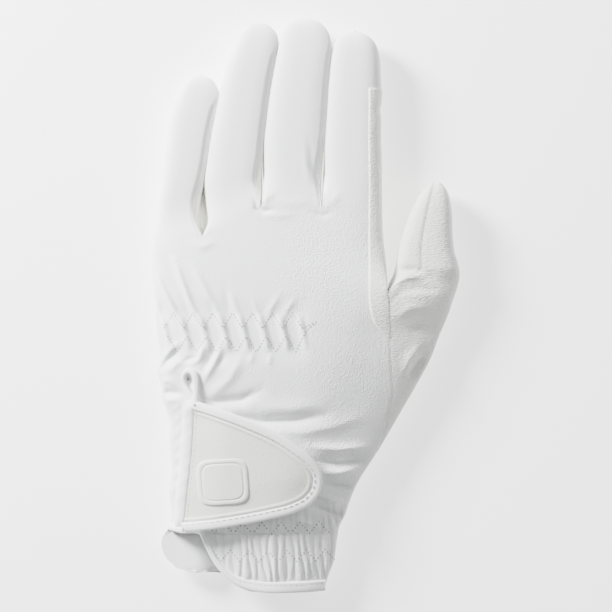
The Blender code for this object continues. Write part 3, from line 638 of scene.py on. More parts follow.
web_under = []
for shape in finger_shapes.values():
    share, _, bottom_angle = shape.loop_plan(2)
    web_under.append(shape.place(share[::-1], bottom_angle, -np.ones(TOP_POINTS), 2)[0])
under_row = np.concatenate([row if k == 0 else row[1:] for k, row in enumerate(web_under)])
under_share = share_between(under_row[:, 0], outer_edge(under_row[:, 1]), index_edge(under_row[:, 1]))
under_share[0], under_share[-1] = -1, 1
t = np.linspace(0, 1, HAND_ROWS // 2)[:, None]
hem = PALM_HEM[0] + (PALM_HEM[1] - PALM_HEM[0]) * ((1 - under_share) / 2) ** HEM_BOW
y = hem + (under_row[:, 1] - hem) * t
low, high = palm_left(y), back_right(y)
x = (low + high) / 2 + under_share * (high - low) / 2
palm_grid = np.stack([x, y, palm_surface(x, y)], axis=-1)
palm_skin = put_sheet("palm_skin", seam_dip(palm_grid, False, True), palm_leather,
                      lining=lining_cloth)
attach(palm_skin, "hand")
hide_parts("palm_panel")

# The fingers ------------------------------------------------------------------
# Each finger is a back and a palm sheet, with a strip of thin stretch leather between them on
# every side that faces another finger. The seams are sewn from inside, so only a groove shows.

# The strips' cream is the stretch leather's own; their extra lightness is painted light against the shade
# that falls on the fingers' sides.
fourchette_leather = leather("fourchette_leather", (0.93, 0.93, 0.865), (0.95, 0.95, 0.89),
                             grain=2400, relief=0.5, stretch=(0.5, 1.6, 1))
THIN_WALL = 0.6
FINGER_ROWS = 130
BEND_REACH = 18.0


def bend_piece(piece, shape, past=2.0):
    """Finds the stretch just past the finger's root over which a piece would blend from the hand to its
    finger, and bakes the piece's placing into its mesh; the blend is not applied.
    """
    (left_x, left_y), (right_x, right_y) = shape.left_crotch, shape.right_crotch
    start = np.array([(left_x + right_x) / 2, max(left_y, right_y) + past])
    along = np.array(shape.tip) - [(left_x + right_x) / 2, (left_y + right_y) / 2]
    along /= np.linalg.norm(along)
    end = start + along * BEND_REACH
    start, end = ((place + plan_shift) * MM for place in (start, end))
    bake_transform(piece)


for name, shape in finger_shapes.items():
    share, top_angle, bottom_angle = shape.loop_plan(FINGER_ROWS)
    right, left = (seam[:, None] for seam in shape.seam_angles(FINGER_ROWS))
    ones = np.ones(TOP_POINTS)
    sewn_left, sewn_right = shape.sewn
    back = seam_dip(shape.place(share, top_angle, ones, FINGER_ROWS), sewn_right, sewn_left)
    piece = put_sheet(f"{name}_back_skin", back, back_leather)
    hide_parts(f"{name}_back")
    bend_piece(piece, shape)
    under = seam_dip(shape.place(share[::-1], bottom_angle, -ones, FINGER_ROWS), sewn_left, sewn_right)
    piece = put_sheet(f"{name}_palm_skin", under, palm_leather)
    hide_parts(f"{name}_palm")
    bend_piece(piece, shape)
    side = np.linspace(0, 1, SIDE_POINTS)
    for on, sewn, base, first, last in (("inner", sewn_right, 1.0, -right, right),
                                        ("outer", sewn_left, -1.0, math.pi - left, math.pi + left)):
        if not sewn:
            continue
        angle = first + (last - first) * side
        level = (2 * side - 1) * (1 if on == "inner" else -1)
        strip = shape.place(np.full(SIDE_POINTS, base), angle, level, FINGER_ROWS)
        piece = put_sheet(f"{name}_{on}_fourchette_skin", seam_dip(strip, True, True),
                          fourchette_leather, THIN_WALL)
        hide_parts(f"{name}_fourchette_{on}")
        bend_piece(piece, shape)

# In the gap beside the little finger the two strips run together into a small saddle: a height,
# less a parabola across the gap, less a fall towards its upper end.
SADDLE_END, SADDLE_HEIGHT, SADDLE_SAG, SADDLE_FALL, SADDLE_TUCK = 50.0, 10.2, 3.2, 2.0, 1.0
y = np.linspace(CROTCHES[1][1] + 0.2, SADDLE_END, 50)[:, None]
v = np.linspace(1, 0, 24)
low = finger_shapes["little"].edge(finger_shapes["little"].inner, y) - SADDLE_TUCK
high = finger_shapes["ring"].edge(finger_shapes["ring"].outer, y) + SADDLE_TUCK
z = SADDLE_HEIGHT - SADDLE_SAG * (1 - (2 * v - 1) ** 2) - SADDLE_FALL * ramp(34, SADDLE_END, y)
saddle = np.stack([low + (high - low) * v, y + 0 * v, z], axis=-1)
web = put_sheet("little_crotch_web", saddle, fourchette_leather, THIN_WALL)
bend_piece(web, finger_shapes["ring"])

# The thumb --------------------------------------------------------------------
# The outer piece starts as a long wedge set into the side of the hand and wraps the thumb's outer
# side. A thinner inner piece closes it on the side that faces the index finger.

THUMB = dict(
    outer=((6.5, 35.3), (10, 35.9), (13.4, 37.6), (18, 38.8), (22.8, 39.6), (27.7, 40.8), (32.7, 42.4),
           (37.7, 44.1), (42.6, 46.3), (47.6, 49.3), (50.4, 52.0)),
    inner=((3.0, 62.4), (8, 64.1), (12.8, 65.1), (17.8, 64.4), (22.8, 62.9), (27.7, 62.3), (37.7, 61.9),
           (42.6, 61.4), (47.6, 60.0), (50.6, 57.9)),
    tip=(55.2, 52.3), top=16.2, root_reach=10.0, sewn=(False, False))
thumb_shape = Finger(THUMB_CROTCH, (63.6, 6.5), THUMB, centre_height=8.8)
# The inner strip is the fourchettes' cream leather, darkened here with painted shade as though it faced away
# from the light.
thumb_strip_painted_shade = leather("thumb_strip_painted_shade", (0.67, 0.67, 0.635), (0.72, 0.72, 0.685), grain=2400,
                              relief=0.6, stretch=(0.5, 1.6, 1))
thumb_leather = leather("thumb_leather", (0.80, 0.80, 0.785), (0.855, 0.855, 0.835), grain=1900, relief=0.7,
                        stretch=(0.35, 1.5, 1))
WEDGE_START = -60.3
GUSSET_ROWS, THUMB_ROWS, THUMB_SIDE_POINTS = 110, 110, 41
THUMB_TOP_SEAM, THUMB_UNDER_SEAM = 101.0, 258.0

dense = np.sin(np.linspace(0, math.pi / 2, TOP_POINTS))
thumb_share = np.concatenate([(2 * dense - 1), (2 * dense - 1)[-2::-1]])
thumb_level = np.concatenate([-np.ones(TOP_POINTS), np.ones(TOP_POINTS - 1)])
thumb_angle = np.radians(np.concatenate([np.linspace(THUMB_UNDER_SEAM - 360, 0, TOP_POINTS),
                                         np.linspace(0, THUMB_TOP_SEAM, TOP_POINTS)[1:]]))
t = np.linspace(0, 1, GUSSET_ROWS)[:, None]
y = WEDGE_START + (THUMB_CROTCH[1] - WEDGE_START) * t + 0 * thumb_share
low, high = back_right(y), thumb_edge(y)
x = low + (high - low) * (thumb_share + 1) / 2
held = ramp(0, 4.0, high - x)
z = np.where(thumb_level > 0, hand_top(x, y) + folds(x, y) * held, hand_bottom(x, y))
wedge = np.stack([x, y, z], axis=-1)
reach = thumb_shape.place(thumb_share, thumb_angle, thumb_level, THUMB_ROWS)
outer_grid = np.concatenate([wedge[:-1], reach])
thumb_outer_skin = put_sheet("thumb_outer_skin", seam_dip(outer_grid, True, True, depth=0.05),
                             thumb_leather)
side = np.linspace(0, 1, THUMB_SIDE_POINTS)
angle = np.radians(THUMB_TOP_SEAM + (THUMB_UNDER_SEAM - THUMB_TOP_SEAM) * side)
inner_grid = thumb_shape.place(np.full(THUMB_SIDE_POINTS, -1.0), angle, 1 - 2 * side, THUMB_ROWS)
thumb_inner_skin = put_sheet("thumb_inner_skin", seam_dip(inner_grid, True, True),
                             thumb_strip_painted_shade, THIN_WALL)
for piece, nodes, slot in ((thumb_outer_skin, ("thumb_gusset", "thumb_outer"), "back_leather"),
                           (thumb_inner_skin, ("thumb_inner",), "fourchette_leather")):
    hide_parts(*nodes)
    bend_piece(piece, thumb_shape, past=1.0)

# The grip strip ---------------------------------------------------------------
# A second layer of cream leather where the rein runs: a straight strip up the index side, folded
# under its edge, rounded off beside the thumb and cut square below the fingertip.

# The strip's edge on the hand's back, its upper end, its rise off the hand, and the y up to which it
# follows the hand. FACE_SHARE of its columns lie on top. Past the thumb the rest go round the index
# side and GRIP_UNDER beneath it. Beside the thumb it rolls down over SEWN_ROLL, and over FREE_ROLL
# at its other edges.
GRIP_LEFT = ((-12.8, 35.2), (-9.5, 31.4), (-5.5, 28.7), (-1, 27.4), (4, 27.0), (12, 27.0), (45, 27.2),
             (91, 27.6))
GRIP_TOP, GRIP_RISE, GRIP_ROOT, GRIP_UNDER = 90.6, 0.42, 36.0, 4.5
GRIP_ROWS, GRIP_COLUMNS, FACE_SHARE = 130, 40, 0.65
FREE_ROLL, SEWN_ROLL = 0.7, 5.0

grip_leather = leather("grip_leather", (0.90, 0.90, 0.865), (0.93, 0.93, 0.895), grain=1700, relief=0.7,
                       stretch=(0.6, 1.3, 1))


def layer_on(grid, rise, roll, first_roll):
    """Lifts a layer off the surface it is sewn to: by rise in the middle, and rolled down to it at
    its edges over the roll's width, which may differ along the first column."""
    first, last, start, end = edge_distances(grid)
    edge = np.minimum(np.minimum(first * roll / first_roll, last), np.minimum(start, end))
    lift = rise * np.sqrt(np.clip(1 - (1 - np.clip(edge / roll, 0, 1)) ** 2, 0, 1))
    return grid + normals_of(grid) * lift[..., None]


t = np.linspace(0, 1, GRIP_ROWS)[:, None]
u = np.linspace(1, 0, GRIP_COLUMNS)
y = GRIP_LEFT[0][0] + (GRIP_ROOT - GRIP_LEFT[0][0]) * t + 0 * u
wrap = ramp(6.0, 12.0, y)
edge = back_right(y) - 0.15
over = np.sin(np.clip(u / FACE_SHARE, 0, 1) * math.pi / 2)
under = np.clip((u - FACE_SHARE) / (1 - FACE_SHARE), 0, 1)
left = curve_through(GRIP_LEFT, y)
x = left + (edge - left) * over - GRIP_UNDER * wrap * under ** 2
low_side = hand_top(edge, y) + (hand_bottom(x, y) - hand_top(edge, y)) * wrap * np.clip(under * 6, 0, 1)
z = np.where(under > 0, low_side, hand_top(x, y) + folds(x, y) * np.clip(edge - x, 0, 3) / 3)
lower_grid = np.stack([x, y, z], axis=-1)

index_shape = finger_shapes["index"]
rows = index_shape.rows(FINGER_ROWS)
low, high = index_shape.edge(index_shape.outer, rows), index_shape.edge(index_shape.inner, rows)
cut = share_between(curve_through(GRIP_LEFT, rows), low, high)[:, None]
turn = np.linspace(0, 1, GRIP_COLUMNS)
below = turn < 1 - FACE_SHARE
folded = 1 - np.cos(np.clip((turn + FACE_SHARE - 1) / FACE_SHARE, 0, 1) * math.pi / 2)
base = np.where(below, 1 - GRIP_UNDER / 12 * (1 - turn / (1 - FACE_SHARE)) ** 2, 1 - (1 - cut) * folded)
level = np.where(below, -1 + 2 * np.clip((turn - 0.29) / 0.06, 0, 1), 1.0)
angle = np.arctan2(dome(base, SECTION_POWER) * np.where(below, -1, 1), base)
upper_grid = index_shape.place(base, angle, level, FINGER_ROWS)[rows < GRIP_TOP]
dents = np.abs(np.sin((upper_grid[..., 1] - 73) * 0.55)) * ramp(70, 74, upper_grid[..., 1])
dents = 0.3 * dents * (1 - ramp(86, 88, upper_grid[..., 1])) * ramp(0.8, 0.3, turn)
upper_grid = upper_grid - normals_of(upper_grid) * dents[..., None]
strip_grid = np.concatenate([lower_grid, upper_grid[upper_grid[:, 0, 1] > GRIP_ROOT + 0.4]])
first_roll = SEWN_ROLL + (FREE_ROLL - SEWN_ROLL) * ramp(2.0, 10.0, strip_grid[:, :1, 1])
strip_grid = layer_on(strip_grid, GRIP_RISE, FREE_ROLL, first_roll)
grip_strip = put_sheet("grip_strip", strip_grid, grip_leather, THIN_WALL)
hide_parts("index_patch_lower", "index_patch_upper")
bend_piece(grip_strip, index_shape)

# The gathers' stitching -------------------------------------------------------
# Two zigzag rows of white thread hold a band of elastic behind the back, and two more hold one
# behind the wrist. The thread sinks into the leather, and each needle hole is a dark dot of painted shade.

THREAD_RADIUS = 0.17
STITCH = 1.5
HOLE_RADIUS = 0.34
thread_white = leather("thread_white", (0.80, 0.80, 0.80), (0.86, 0.86, 0.86), grain=6000, relief=0.3,
                       roughness=0.6)
# Painted shade: this thread is white, and the grey stands for the shade along stitches sunk in their groove.
thread_painted_shade_grey = leather("thread_painted_shade_grey", (0.42, 0.42, 0.41), (0.50, 0.50, 0.49), grain=6000, relief=0.3,
                      roughness=0.7, sheen=0.0)
# Painted shade: this near-black colour stands for the shade inside each needle hole.
hole_shade = leather("painted_needle_hole_shade", (0.20, 0.20, 0.195), (0.27, 0.27, 0.26), relief=0.05, roughness=0.9,
                     sheen=0.0)


def along_path(points, spacing):
    """Places at even spacing along straight runs between points, and the distance between them."""
    points = np.array(points, float)
    length = np.concatenate([[0], np.cumsum(np.linalg.norm(np.diff(points, axis=0), axis=1))])
    count = max(int(round(length[-1] / spacing)), 2)
    at = np.linspace(0, length[-1], count + 1)
    return np.stack([np.interp(at, length, points[:, k]) for k in range(points.shape[1])], axis=-1)


def stitches(ends, height, radius=THREAD_RADIUS, share=0.66, sink=0.05, rings=7, sides=6):
    """Thread between successive places: each stitch is a round bar with domed ends, laid on a height
    function over the middle share of its gap. Rings run along it and sides run round it."""
    start, stop = ends[:-1], ends[1:]
    middle, half = (start + stop) / 2, (stop - start) / 2 * share
    a = np.concatenate([middle - half, height(*(middle - half).T)[:, None] - sink], axis=1)
    b = np.concatenate([middle + half, height(*(middle + half).T)[:, None] - sink], axis=1)
    axis = (b - a) / np.linalg.norm(b - a, axis=1, keepdims=True)
    side = np.cross(axis, [0, 0, 1.0])
    side /= np.linalg.norm(side, axis=1, keepdims=True)
    up = np.cross(side, axis)
    t = (1 - np.cos(np.linspace(0, math.pi, rings))) / 2
    fat = radius * np.sin(np.linspace(0, math.pi, rings)) ** 0.5
    turn = np.linspace(0, 2 * math.pi, sides, endpoint=False)
    place = a[:, None, None] + (b - a)[:, None, None] * t[None, :, None, None]
    around = (side[:, None, None] * np.cos(turn)[:, None] + up[:, None, None] * np.sin(turn)[:, None])
    points = place + around * fat[None, :, None, None]
    index = np.arange(rings * sides).reshape(rings, sides)
    index = np.concatenate([index, index[:, :1]], axis=1)
    quads = np.stack([index[:-1, :-1], index[:-1, 1:], index[1:, 1:], index[1:, :-1]], -1).reshape(-1, 4)
    first = np.arange(len(a))[:, None, None] * rings * sides
    return points.reshape(-1, 3), (quads + first).reshape(-1, 4)


def needle_holes(places, height):
    """A flat dark dot of painted shade, of eight sides, at each place, for the shade inside a needle hole:
    half a ball pressed to 0.35 of its height.
    """
    turn = np.linspace(0, 2 * math.pi, 9)
    level = np.array([0.0, 0.5, 1.0])[:, None] * math.pi / 2
    ring = HOLE_RADIUS * np.stack([np.cos(turn) * np.cos(level), np.sin(turn) * np.cos(level),
                                   0.35 * np.sin(level) + 0 * turn], axis=-1)
    centre = np.concatenate([places, height(*places.T)[:, None]], axis=1)
    points = (centre[:, None, None] + ring).reshape(-1, 3)
    first = np.arange(len(places))[:, None, None] * level.size * turn.size
    return points, (grid_faces(level.size, turn.size, flip=True) + first).reshape(-1, 4)


def put_stitches(name, ends, height, body, holes=True, thread=thread_white, **how):
    """One run of stitches as a piece, and the painted shade dots of its needle holes as another."""
    points, faces = stitches(ends, height, **how)
    pieces = [put_mesh(name, points, faces, thread)]
    if holes:
        points, faces = needle_holes(ends, height)
        pieces.append(put_mesh(f"{name}_holes", points, faces, hole_shade))
    for piece in pieces:
        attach(piece, body)


def zigzag(first, last, centre, depth, pitch, start_up=True):
    """Corners of a zigzag from first to last x, half a pitch apart."""
    x = np.arange(first, last, pitch / 2)
    y = centre + depth * np.where(np.arange(len(x)) % 2 == (0 if start_up else 1), 1, -1)
    return np.stack([x, y], axis=-1)


upper = zigzag(FIRST_PLEAT, 1.0, GATHER_ROWS[0], ZIGZAG_DEPTH, ZIGZAG_PITCH, False)
lower = zigzag(FIRST_PLEAT + 1.5, 0.5, GATHER_ROWS[1], ZIGZAG_DEPTH, ZIGZAG_PITCH)
gather_path = np.concatenate([upper, [(5.6, -6.2), (1.4, -9.8)], lower[::-1]])
put_stitches("gather_stitches", along_path(gather_path, STITCH), back_surface, "hand")
for k, row_y in enumerate(CUFF_ROWS):
    row = zigzag(-37.5 if k else -40.0, 14.0, row_y, 2.3, CUFF_PITCH)
    put_stitches(f"cuff_stitches_{k + 1}", along_path(row, STITCH), back_surface, "hand", radius=0.16)

elastic_weave = leather("elastic_weave", (0.78, 0.78, 0.78), (0.85, 0.85, 0.85), grain=1800, relief=0.5,
                        stretch=(0.4, 1.8, 1))


def put_tape(name, x_range, y_range, height, material, body, node, steps=(60, 24)):
    """A flat tape over a rectangle of the plan, following a height function."""
    x, y = np.meshgrid(np.linspace(*x_range[::-1], steps[0]), np.linspace(*y_range, steps[1]))
    piece = put_sheet(name, np.stack([x, y, height(x, y)], axis=-1), material)
    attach(piece, body)
    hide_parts(node)


def behind_back(x, y):
    """The elastic's outer face: the back's own, less the leather's wall and a small gap."""
    return back_surface(x, y) - WALL - 0.35


put_tape("back_elastic_band", (-54, 3), (-15.5, -6.5), behind_back, elastic_weave, "hand", "back_elastic",
         steps=(160, 24))
put_tape("wrist_elastic_band", (-23, 10), (-110, -94), behind_back, elastic_weave, "hand", "wrist_elastic",
         steps=(110, 40))

# The bound edges --------------------------------------------------------------
# Folded white tape, sewn over the raw edge of the vent and both hems. At the vent's head it is
# left long, and stands up as a small loop that takes the strain.

binding_tape = leather("binding_tape", (0.90, 0.905, 0.92), (0.93, 0.93, 0.94), grain=2600, relief=0.15,
                       roughness=0.58)


def smooth_run(points, spacing):
    """Places at even spacing on the smooth curve through the given points, in any dimension."""
    points = np.array(points, float)
    knots = np.concatenate([[0], np.cumsum(np.linalg.norm(np.diff(points, axis=0), axis=1))])
    fine = np.linspace(0, knots[-1], 40 * len(points))
    curve = np.stack([curve_through(np.stack([knots, points[:, k]], axis=-1), fine)
                      for k in range(points.shape[1])], axis=-1)
    return along_path(curve, spacing)


def band_section(width, thickness, power=3.0, lip=0.0):
    """A folded tape's section as a closed loop of (across, up): a superellipse, with a small lip
    raised along its inner edge as a bell at 0.78 of its half width."""
    across, up = superellipse(np.linspace(0, 2 * math.pi, 29), power)
    lifted = up * thickness / 2 + lip * bump(across - 0.78, 0.16) * (up > 0)
    return np.stack([across * width / 2, lifted], axis=-1)


def sweep(path, section, scale=None):
    """Carries a closed section along a path: across is square to the path on the level, and up is
    square to both. The ends are closed to a point."""
    along = np.gradient(path, axis=0)
    along /= np.linalg.norm(along, axis=1, keepdims=True)
    across = np.cross(along, [0, 0, 1.0])
    across /= np.linalg.norm(across, axis=1, keepdims=True)
    up = np.cross(across, along)
    scale = np.ones(len(path)) if scale is None else scale
    wide = section[None, :, 0:1] * scale[:, None, None]
    rows = path[:, None] + across[:, None] * wide + up[:, None] * section[None, :, 1:2]
    first, last = (np.repeat(rows[k].mean(axis=0)[None, None], rows.shape[1], axis=1) for k in (0, -1))
    return np.concatenate([first, rows, last])


def put_band(name, path, section, body, nodes, scale=None):
    """A length of the white tape along a path, in place of the given CAD nodes."""
    rows = sweep(path, section, scale)
    piece = put_mesh(name, rows, grid_faces(*rows.shape[:2]), binding_tape)
    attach(piece, body)
    if nodes:
        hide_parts(*nodes)


def on_surface(plan, height, lift):
    """Plan places with their heights: the height function's own, plus a lift."""
    return np.concatenate([plan, (height(*plan.T) + lift)[:, None]], axis=1)


def left_of(run):
    """Unit steps to the left of each place of a plan run: its direction turned a quarter."""
    slope = np.gradient(run, axis=0)
    slope /= np.linalg.norm(slope, axis=1, keepdims=True)
    return np.stack([-slope[:, 1], slope[:, 0]], axis=-1)


CUFF_EDGE = ((-43.6, -88.5), (-42.2, -93.4), (-40.1, -98.6), (-35.9, -106.2), (-30.4, -112.4),
             (-24.0, -116.0), (-16.5, -117.3), (-8.0, -117.5), (1.0, -117.4), (9.2, -117.2))
HEM_WIDTH, VENT_WIDTH = 4.8, 2.3
cuff_run = smooth_run(CUFF_EDGE, 0.5)
widen = VENT_WIDTH + (HEM_WIDTH - VENT_WIDTH) * ramp(-37, -20, cuff_run[:, 0])
inward = left_of(cuff_run)
cuff_path = on_surface(cuff_run + inward * (widen / 2 - 0.15)[:, None], back_surface, -0.25)
cuff_path[:, 2] = np.convolve(np.pad(cuff_path[:, 2], 4, mode="edge"), np.ones(9) / 9, "valid")
put_band("cuff_binding", cuff_path, band_section(1.0, 2.3, lip=0.35) * [-1, 1], "hand",
         ("vent_binding", "back_hem_binding"), scale=widen)
hem_thread = (cuff_run + inward * (widen - 1.75)[:, None])[cuff_run[:, 0] > -28]


def cuff_top(x, y):
    """The upper face of the cuff's binding, taken from the nearest point of its path."""
    nearest = np.argmin(np.hypot(x[:, None] - cuff_path[:, 0], y[:, None] - cuff_path[:, 1]), axis=1)
    return cuff_path[nearest, 2] + 1.12


put_stitches("hem_stitches", along_path(hem_thread, 2.1), cuff_top, "hand", radius=0.17, holes=False,
             thread=thread_painted_shade_grey, share=0.72)

y = np.linspace(-90, -56, 60)
side_path = np.stack([curve_through(((-90, -51.6), (-60, -49.2), (-50, -48.4)), y), y], axis=-1)
put_band("vent_side_tape", on_surface(side_path, hand_top, -0.2), band_section(2.2, 1.6), "hand",
         ("vent_side_binding",))

end_path = smooth_run(((-54.6, -89.9), (-53.4, -91.0), (-51.0, -91.5), (-47.5, -91.9)), 0.4)
put_band("strip_end_tape", on_surface(end_path, hand_top, 0.0), band_section(2.2, 1.3), "hand", ())

# The loop's path, each place with its height over the glove and its share of the tape's width.
LOOP = ((-44.4, -40.6, 1.0, 0.9), (-45.1, -36.6, 1.0, 0.8), (-46.9, -33.8, 0.9, 0.7),
        (-48.3, -31.3, 0.8, 0.65), (-48.7, -28.7, 0.9, 0.75), (-47.8, -26.8, 1.1, 0.95),
        (-46.1, -26.0, 1.3, 1.1), (-44.4, -26.9, 1.5, 1.2), (-43.6, -29.2, 1.6, 1.2),
        (-43.4, -32.4, 1.8, 1.15), (-43.5, -35.6, 2.1, 1.1), (-43.6, -38.4, 2.6, 1.1),
        (-43.0, -41.0, 2.8, 1.1))
LOOP_TAPE = 2.2
loop_run = smooth_run(LOOP, 0.3)
loop_path = loop_run[:, :3].copy()
loop_path[:, 2] += hand_top(loop_run[:, 0], loop_run[:, 1]) - 0.3
loop_section = band_section(LOOP_TAPE, 1.9, power=2.6)
put_band("vent_loop_tape", loop_path, loop_section, "hand", ("vent_loop_binding",), scale=loop_run[:, 3])

t = np.linspace(0.02, 0.74, 100)
hem_y = PALM_HEM[0] + (PALM_HEM[1] - PALM_HEM[0]) * t ** HEM_BOW + 0.5
hem_share = 1 - 2 * t
low, high = palm_left(hem_y), back_right(hem_y)
palm_run = np.stack([(low + high) / 2 + hem_share * (high - low) / 2, hem_y], axis=-1)
palm_path = on_surface(palm_run, palm_surface, 0.75)
palm_path[:, 2] = np.maximum(palm_path[:, 2], 1.15)
put_band("palm_hem_tape", palm_path, band_section(3.0, 2.0), "hand", ("palm_hem_binding",))

# The tab ----------------------------------------------------------------------
# Two layers of smooth cream leather over a stiffener, bound all round with the same white tape and
# sewn down along its root. Hook tape beneath it grips the loop tape on the wrist.

TAB_ROOT = ((-43.8, -39.2), (-45.0, -58.0), (-47.0, -77.0), (-48.8, -91.0))
TAB_OUTLINE = ((-43.8, -38.2), (-33.9, -41.3), (-18.7, -47.2), (-10.1, -51.2), (-2.3, -56.4), (4.1, -61.6),
               (7.5, -66.6), (8.0, -70.8), (6.9, -75.6), (3.4, -80.2), (-2.8, -83.6), (-12.8, -86.2),
               (-26.0, -88.8), (-39.2, -90.9), (-49.0, -92.0))
TAB_THICK = 1.3
TAPE_WIDTH = 3.8
tab_leather = leather("tab_leather", (0.74, 0.74, 0.705), (0.775, 0.775, 0.745), grain=1500, relief=0.25,
                      roughness=0.45)


def tab_under(x, y):
    """The tab's underside: just above the wrist at its root, and clear of both tapes at its nose."""
    root_x = curve_through([(b, a) for a, b in reversed(TAB_ROOT)], y)
    return hand_top(x, y) + 1.9 + 0.9 * ramp(0, 15, x - root_x)


tab_outline = smooth_run(TAB_OUTLINE, 0.6)
tab_inward = -left_of(tab_outline)


def tab_top(x, y):
    """The tab's face: flat over its stiffener, with a welt beside the binding and a low swell."""
    d, _ = distance_to_line(x, y, tab_outline[::4])
    return tab_under(x, y) + TAB_THICK + 0.3 * bump(d - TAPE_WIDTH - 1.0, 0.55) + 0.35 * ramp(4, 16, d)


rim = tab_outline + tab_inward * 1.3
root = smooth_run(TAB_ROOT, 0.6)
share = np.linspace(0, 1, len(rim))
root = np.stack([np.interp(share, np.linspace(0, 1, len(root)), root[:, k]) for k in (0, 1)], axis=-1)
v = np.linspace(1, 0, 90)[None, :, None]
plan = (root[:, None] * (1 - v) + rim[:, None] * v)[::-1]
face_grid = np.concatenate([plan, tab_top(plan[..., 0], plan[..., 1])[..., None]], axis=-1)
tab_skin = put_sheet("tab_skin", face_grid, tab_leather, TAB_THICK)
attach(tab_skin, "tab")
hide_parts("tab_face")

rim_run = tab_outline + tab_inward * (TAPE_WIDTH / 2 - 0.1)
rim_path = on_surface(rim_run, tab_under, TAB_THICK / 2 + 0.1)
put_band("tab_tape", rim_path, band_section(TAPE_WIDTH, 2.3, power=2.7, lip=0.2), "tab",
         ("tab_binding",))


def tape_top(x, y):
    """The upper face of the tab's tape: over the leather's middle by a little more than half the tape."""
    return tab_under(x, y) + TAB_THICK / 2 + 1.24


tape_thread = (tab_outline + tab_inward * (TAPE_WIDTH - 0.75))[2:-2]
put_stitches("tab_stitches", along_path(tape_thread, 2.5), tape_top, "tab", radius=0.17, holes=False,
             thread=thread_painted_shade_grey, share=0.7)
put_stitches("root_stitches", along_path([(a + 0.9, b) for a, b in TAB_ROOT], 2.3), tab_top, "tab",
             radius=0.15, holes=False, thread=thread_painted_shade_grey)

BADGE_MIDDLE, BADGE_HALF, BADGE_TURN = (-32.4, -71.2), (10.6, 9.4), math.radians(4)
badge_rubber = leather("badge_rubber", (0.73, 0.73, 0.695), (0.77, 0.77, 0.74), grain=3200, relief=0.08,
                       roughness=0.4, sheen=0.0)


def rounded_rings(centre, half, turn, power, rings, around):
    """x and y over a turned superellipse, as rings from its edge in to its middle, with each ring's
    share of the size, r, and a quarter-round rise from 0 to 1 over the outer tenth."""
    r = np.linspace(1, 0, rings)[:, None]
    a, b = superellipse(np.linspace(0, 2 * math.pi, around), power)
    a, b = r * a * half[0], r * b * half[1]
    x = centre[0] + a * math.cos(turn) - b * math.sin(turn)
    y = centre[1] + a * math.sin(turn) + b * math.cos(turn)
    return x, y, r, np.sqrt(np.clip(1 - ((r - 0.9) / 0.1).clip(0, 1) ** 2, 0, 1))


x, y, r, edge = rounded_rings(BADGE_MIDDLE, BADGE_HALF, BADGE_TURN, 4.5, 46, 145)
relief = 0.5 * edge - 0.28 * bump(r - 0.8, 0.028)
pad_top = np.stack([x, y, tab_under(x, y) + TAB_THICK + 0.35 + relief - 0.1 * bump(r, 0.5)], axis=-1)
pad_under = pad_top.copy()
pad_under[..., 2] = tab_under(x, y) + TAB_THICK + 0.1
pad_rows = np.concatenate([pad_under[::-1], pad_top])
badge = put_mesh("blank_badge", pad_rows, grid_faces(*pad_rows.shape[:2], flip=True), badge_rubber)
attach(badge, "tab")
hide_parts("tab_badge")

hook_tape = leather("hook_tape", (0.76, 0.76, 0.76), (0.84, 0.84, 0.84), grain=1100, relief=1.0,
                    roughness=0.8)
put_tape("hook_patch", (-18, -1), (-78, -61), lambda x, y: tab_under(x, y) - 0.25, hook_tape, "tab",
         "tab_hook_tape")
put_tape("loop_patch", (-24, 0), (-80, -60.5), lambda x, y: hand_top(x, y) + 1.25, hook_tape, "hand",
         "back_loop_tape")

# The palm's patches -----------------------------------------------------------
# A second layer where the reins wear: one under the hand, and one under the ring finger.


def put_patch(name, centre, half, turn, height, node):
    """A patch with round corners under a height function, down to just above the table."""
    rise = PALM_FLOOR - 0.05
    x, y, r, edge = rounded_rings(centre, half, -turn, 6, 26, 121)
    low = np.stack([x, y, height(x, y) - rise * edge], axis=-1)
    high = np.stack([x, y, height(x, y) + 0.05 + 0 * r], axis=-1)
    rows = np.concatenate([high[::-1], low])
    piece = put_mesh(name, rows, grid_faces(*rows.shape[:2]), grip_leather)
    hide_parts(node)
    return piece


patch = put_patch("palm_patch", (-16, -8), (24, 32), 0.0, hand_bottom, "palm_grip_patch")
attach(patch, "hand")
ring_shape = finger_shapes["ring"]
lean = math.atan2(ring_shape.tip[0] + 29.25, ring_shape.tip[1] - 34.75)
patch = put_patch("ring_patch", (-25.6, 56), (6, 12), lean, lambda x, y: PALM_FLOOR + 0 * x,
                  "ring_grip_patch")
bend_piece(patch, ring_shape)

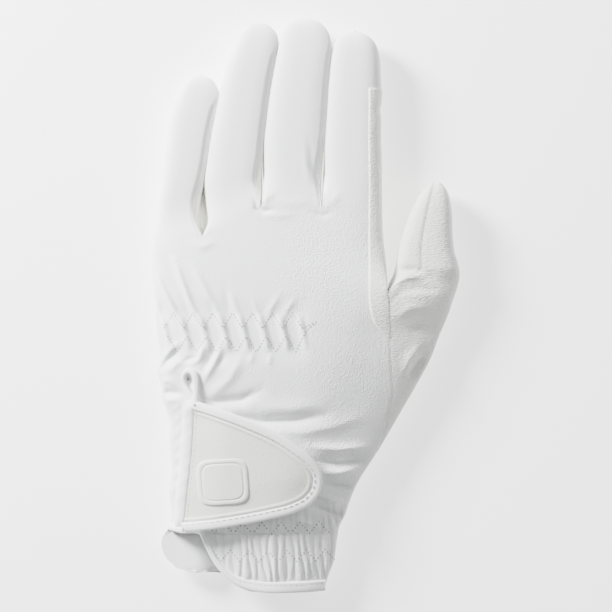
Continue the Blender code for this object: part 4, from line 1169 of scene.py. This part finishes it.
# The set ----------------------------------------------------------------------
# A plain white table top, a soft low light from the outer side, a weak wide one above the thumb's
# side, and a long lens straight down.

VIEW_CENTRE = (1.45, 0.41)
VIEW_WIDTH = 253.4
LENS = 100.0
SENSOR = 36.0

floor_mesh = bpy.data.meshes.new("floor")
floor_mesh.from_pydata([(-3, -3, 0), (3, -3, 0), (3, 3, 0), (-3, 3, 0)], [], [(0, 1, 2, 3)])
floor = bpy.data.objects.new("floor", floor_mesh)
bpy.context.scene.collection.objects.link(floor)
table = bpy.data.materials.new("table_white")
table.use_nodes = True
top = table.node_tree.nodes["Principled BSDF"]
top.inputs["Base Color"].default_value = (0.9, 0.9, 0.9, 1)
top.inputs["Roughness"].default_value = 0.9
top.inputs["Emission Color"].default_value = (1, 1, 1, 1)
top.inputs["Emission Strength"].default_value = 1.6
floor_mesh.materials.append(table)

world = bpy.data.worlds.new("studio")
world.use_nodes = True
world.node_tree.nodes["Background"].inputs["Color"].default_value = (1, 1, 1, 1)
world.node_tree.nodes["Background"].inputs["Strength"].default_value = 0.42
bpy.context.scene.world = world


def add_light(name, place, size, power):
    """A round soft light at a place in metres, turned to face the frame's origin."""
    lamp = bpy.data.lights.new(name, "AREA")
    lamp.shape = "DISK"
    lamp.size = size
    lamp.energy = power
    holder = bpy.data.objects.new(name, lamp)
    holder.location = place
    across, along, up = place
    holder.rotation_euler = (math.acos(up / math.hypot(across, along, up)), 0,
                             math.atan2(-across, along) + math.pi)
    bpy.context.scene.collection.objects.link(holder)


add_light("key", (-0.62, 0.50, 0.36), 0.3, 44.0)
add_light("fill", (0.5, 0.5, 0.9), 0.9, 4.5)

camera_data = bpy.data.cameras.new("camera")
camera_data.sensor_width = SENSOR
middle = (np.array(VIEW_CENTRE) + plan_shift) * MM
distance = VIEW_WIDTH * MM * LENS / SENSOR
camera_data.lens = LENS
camera = bpy.data.objects.new("camera", camera_data)
camera.location = (middle[0], middle[1], SEAM_HEIGHT * MM + distance)
bpy.context.scene.collection.objects.link(camera)
bpy.context.scene.camera = camera
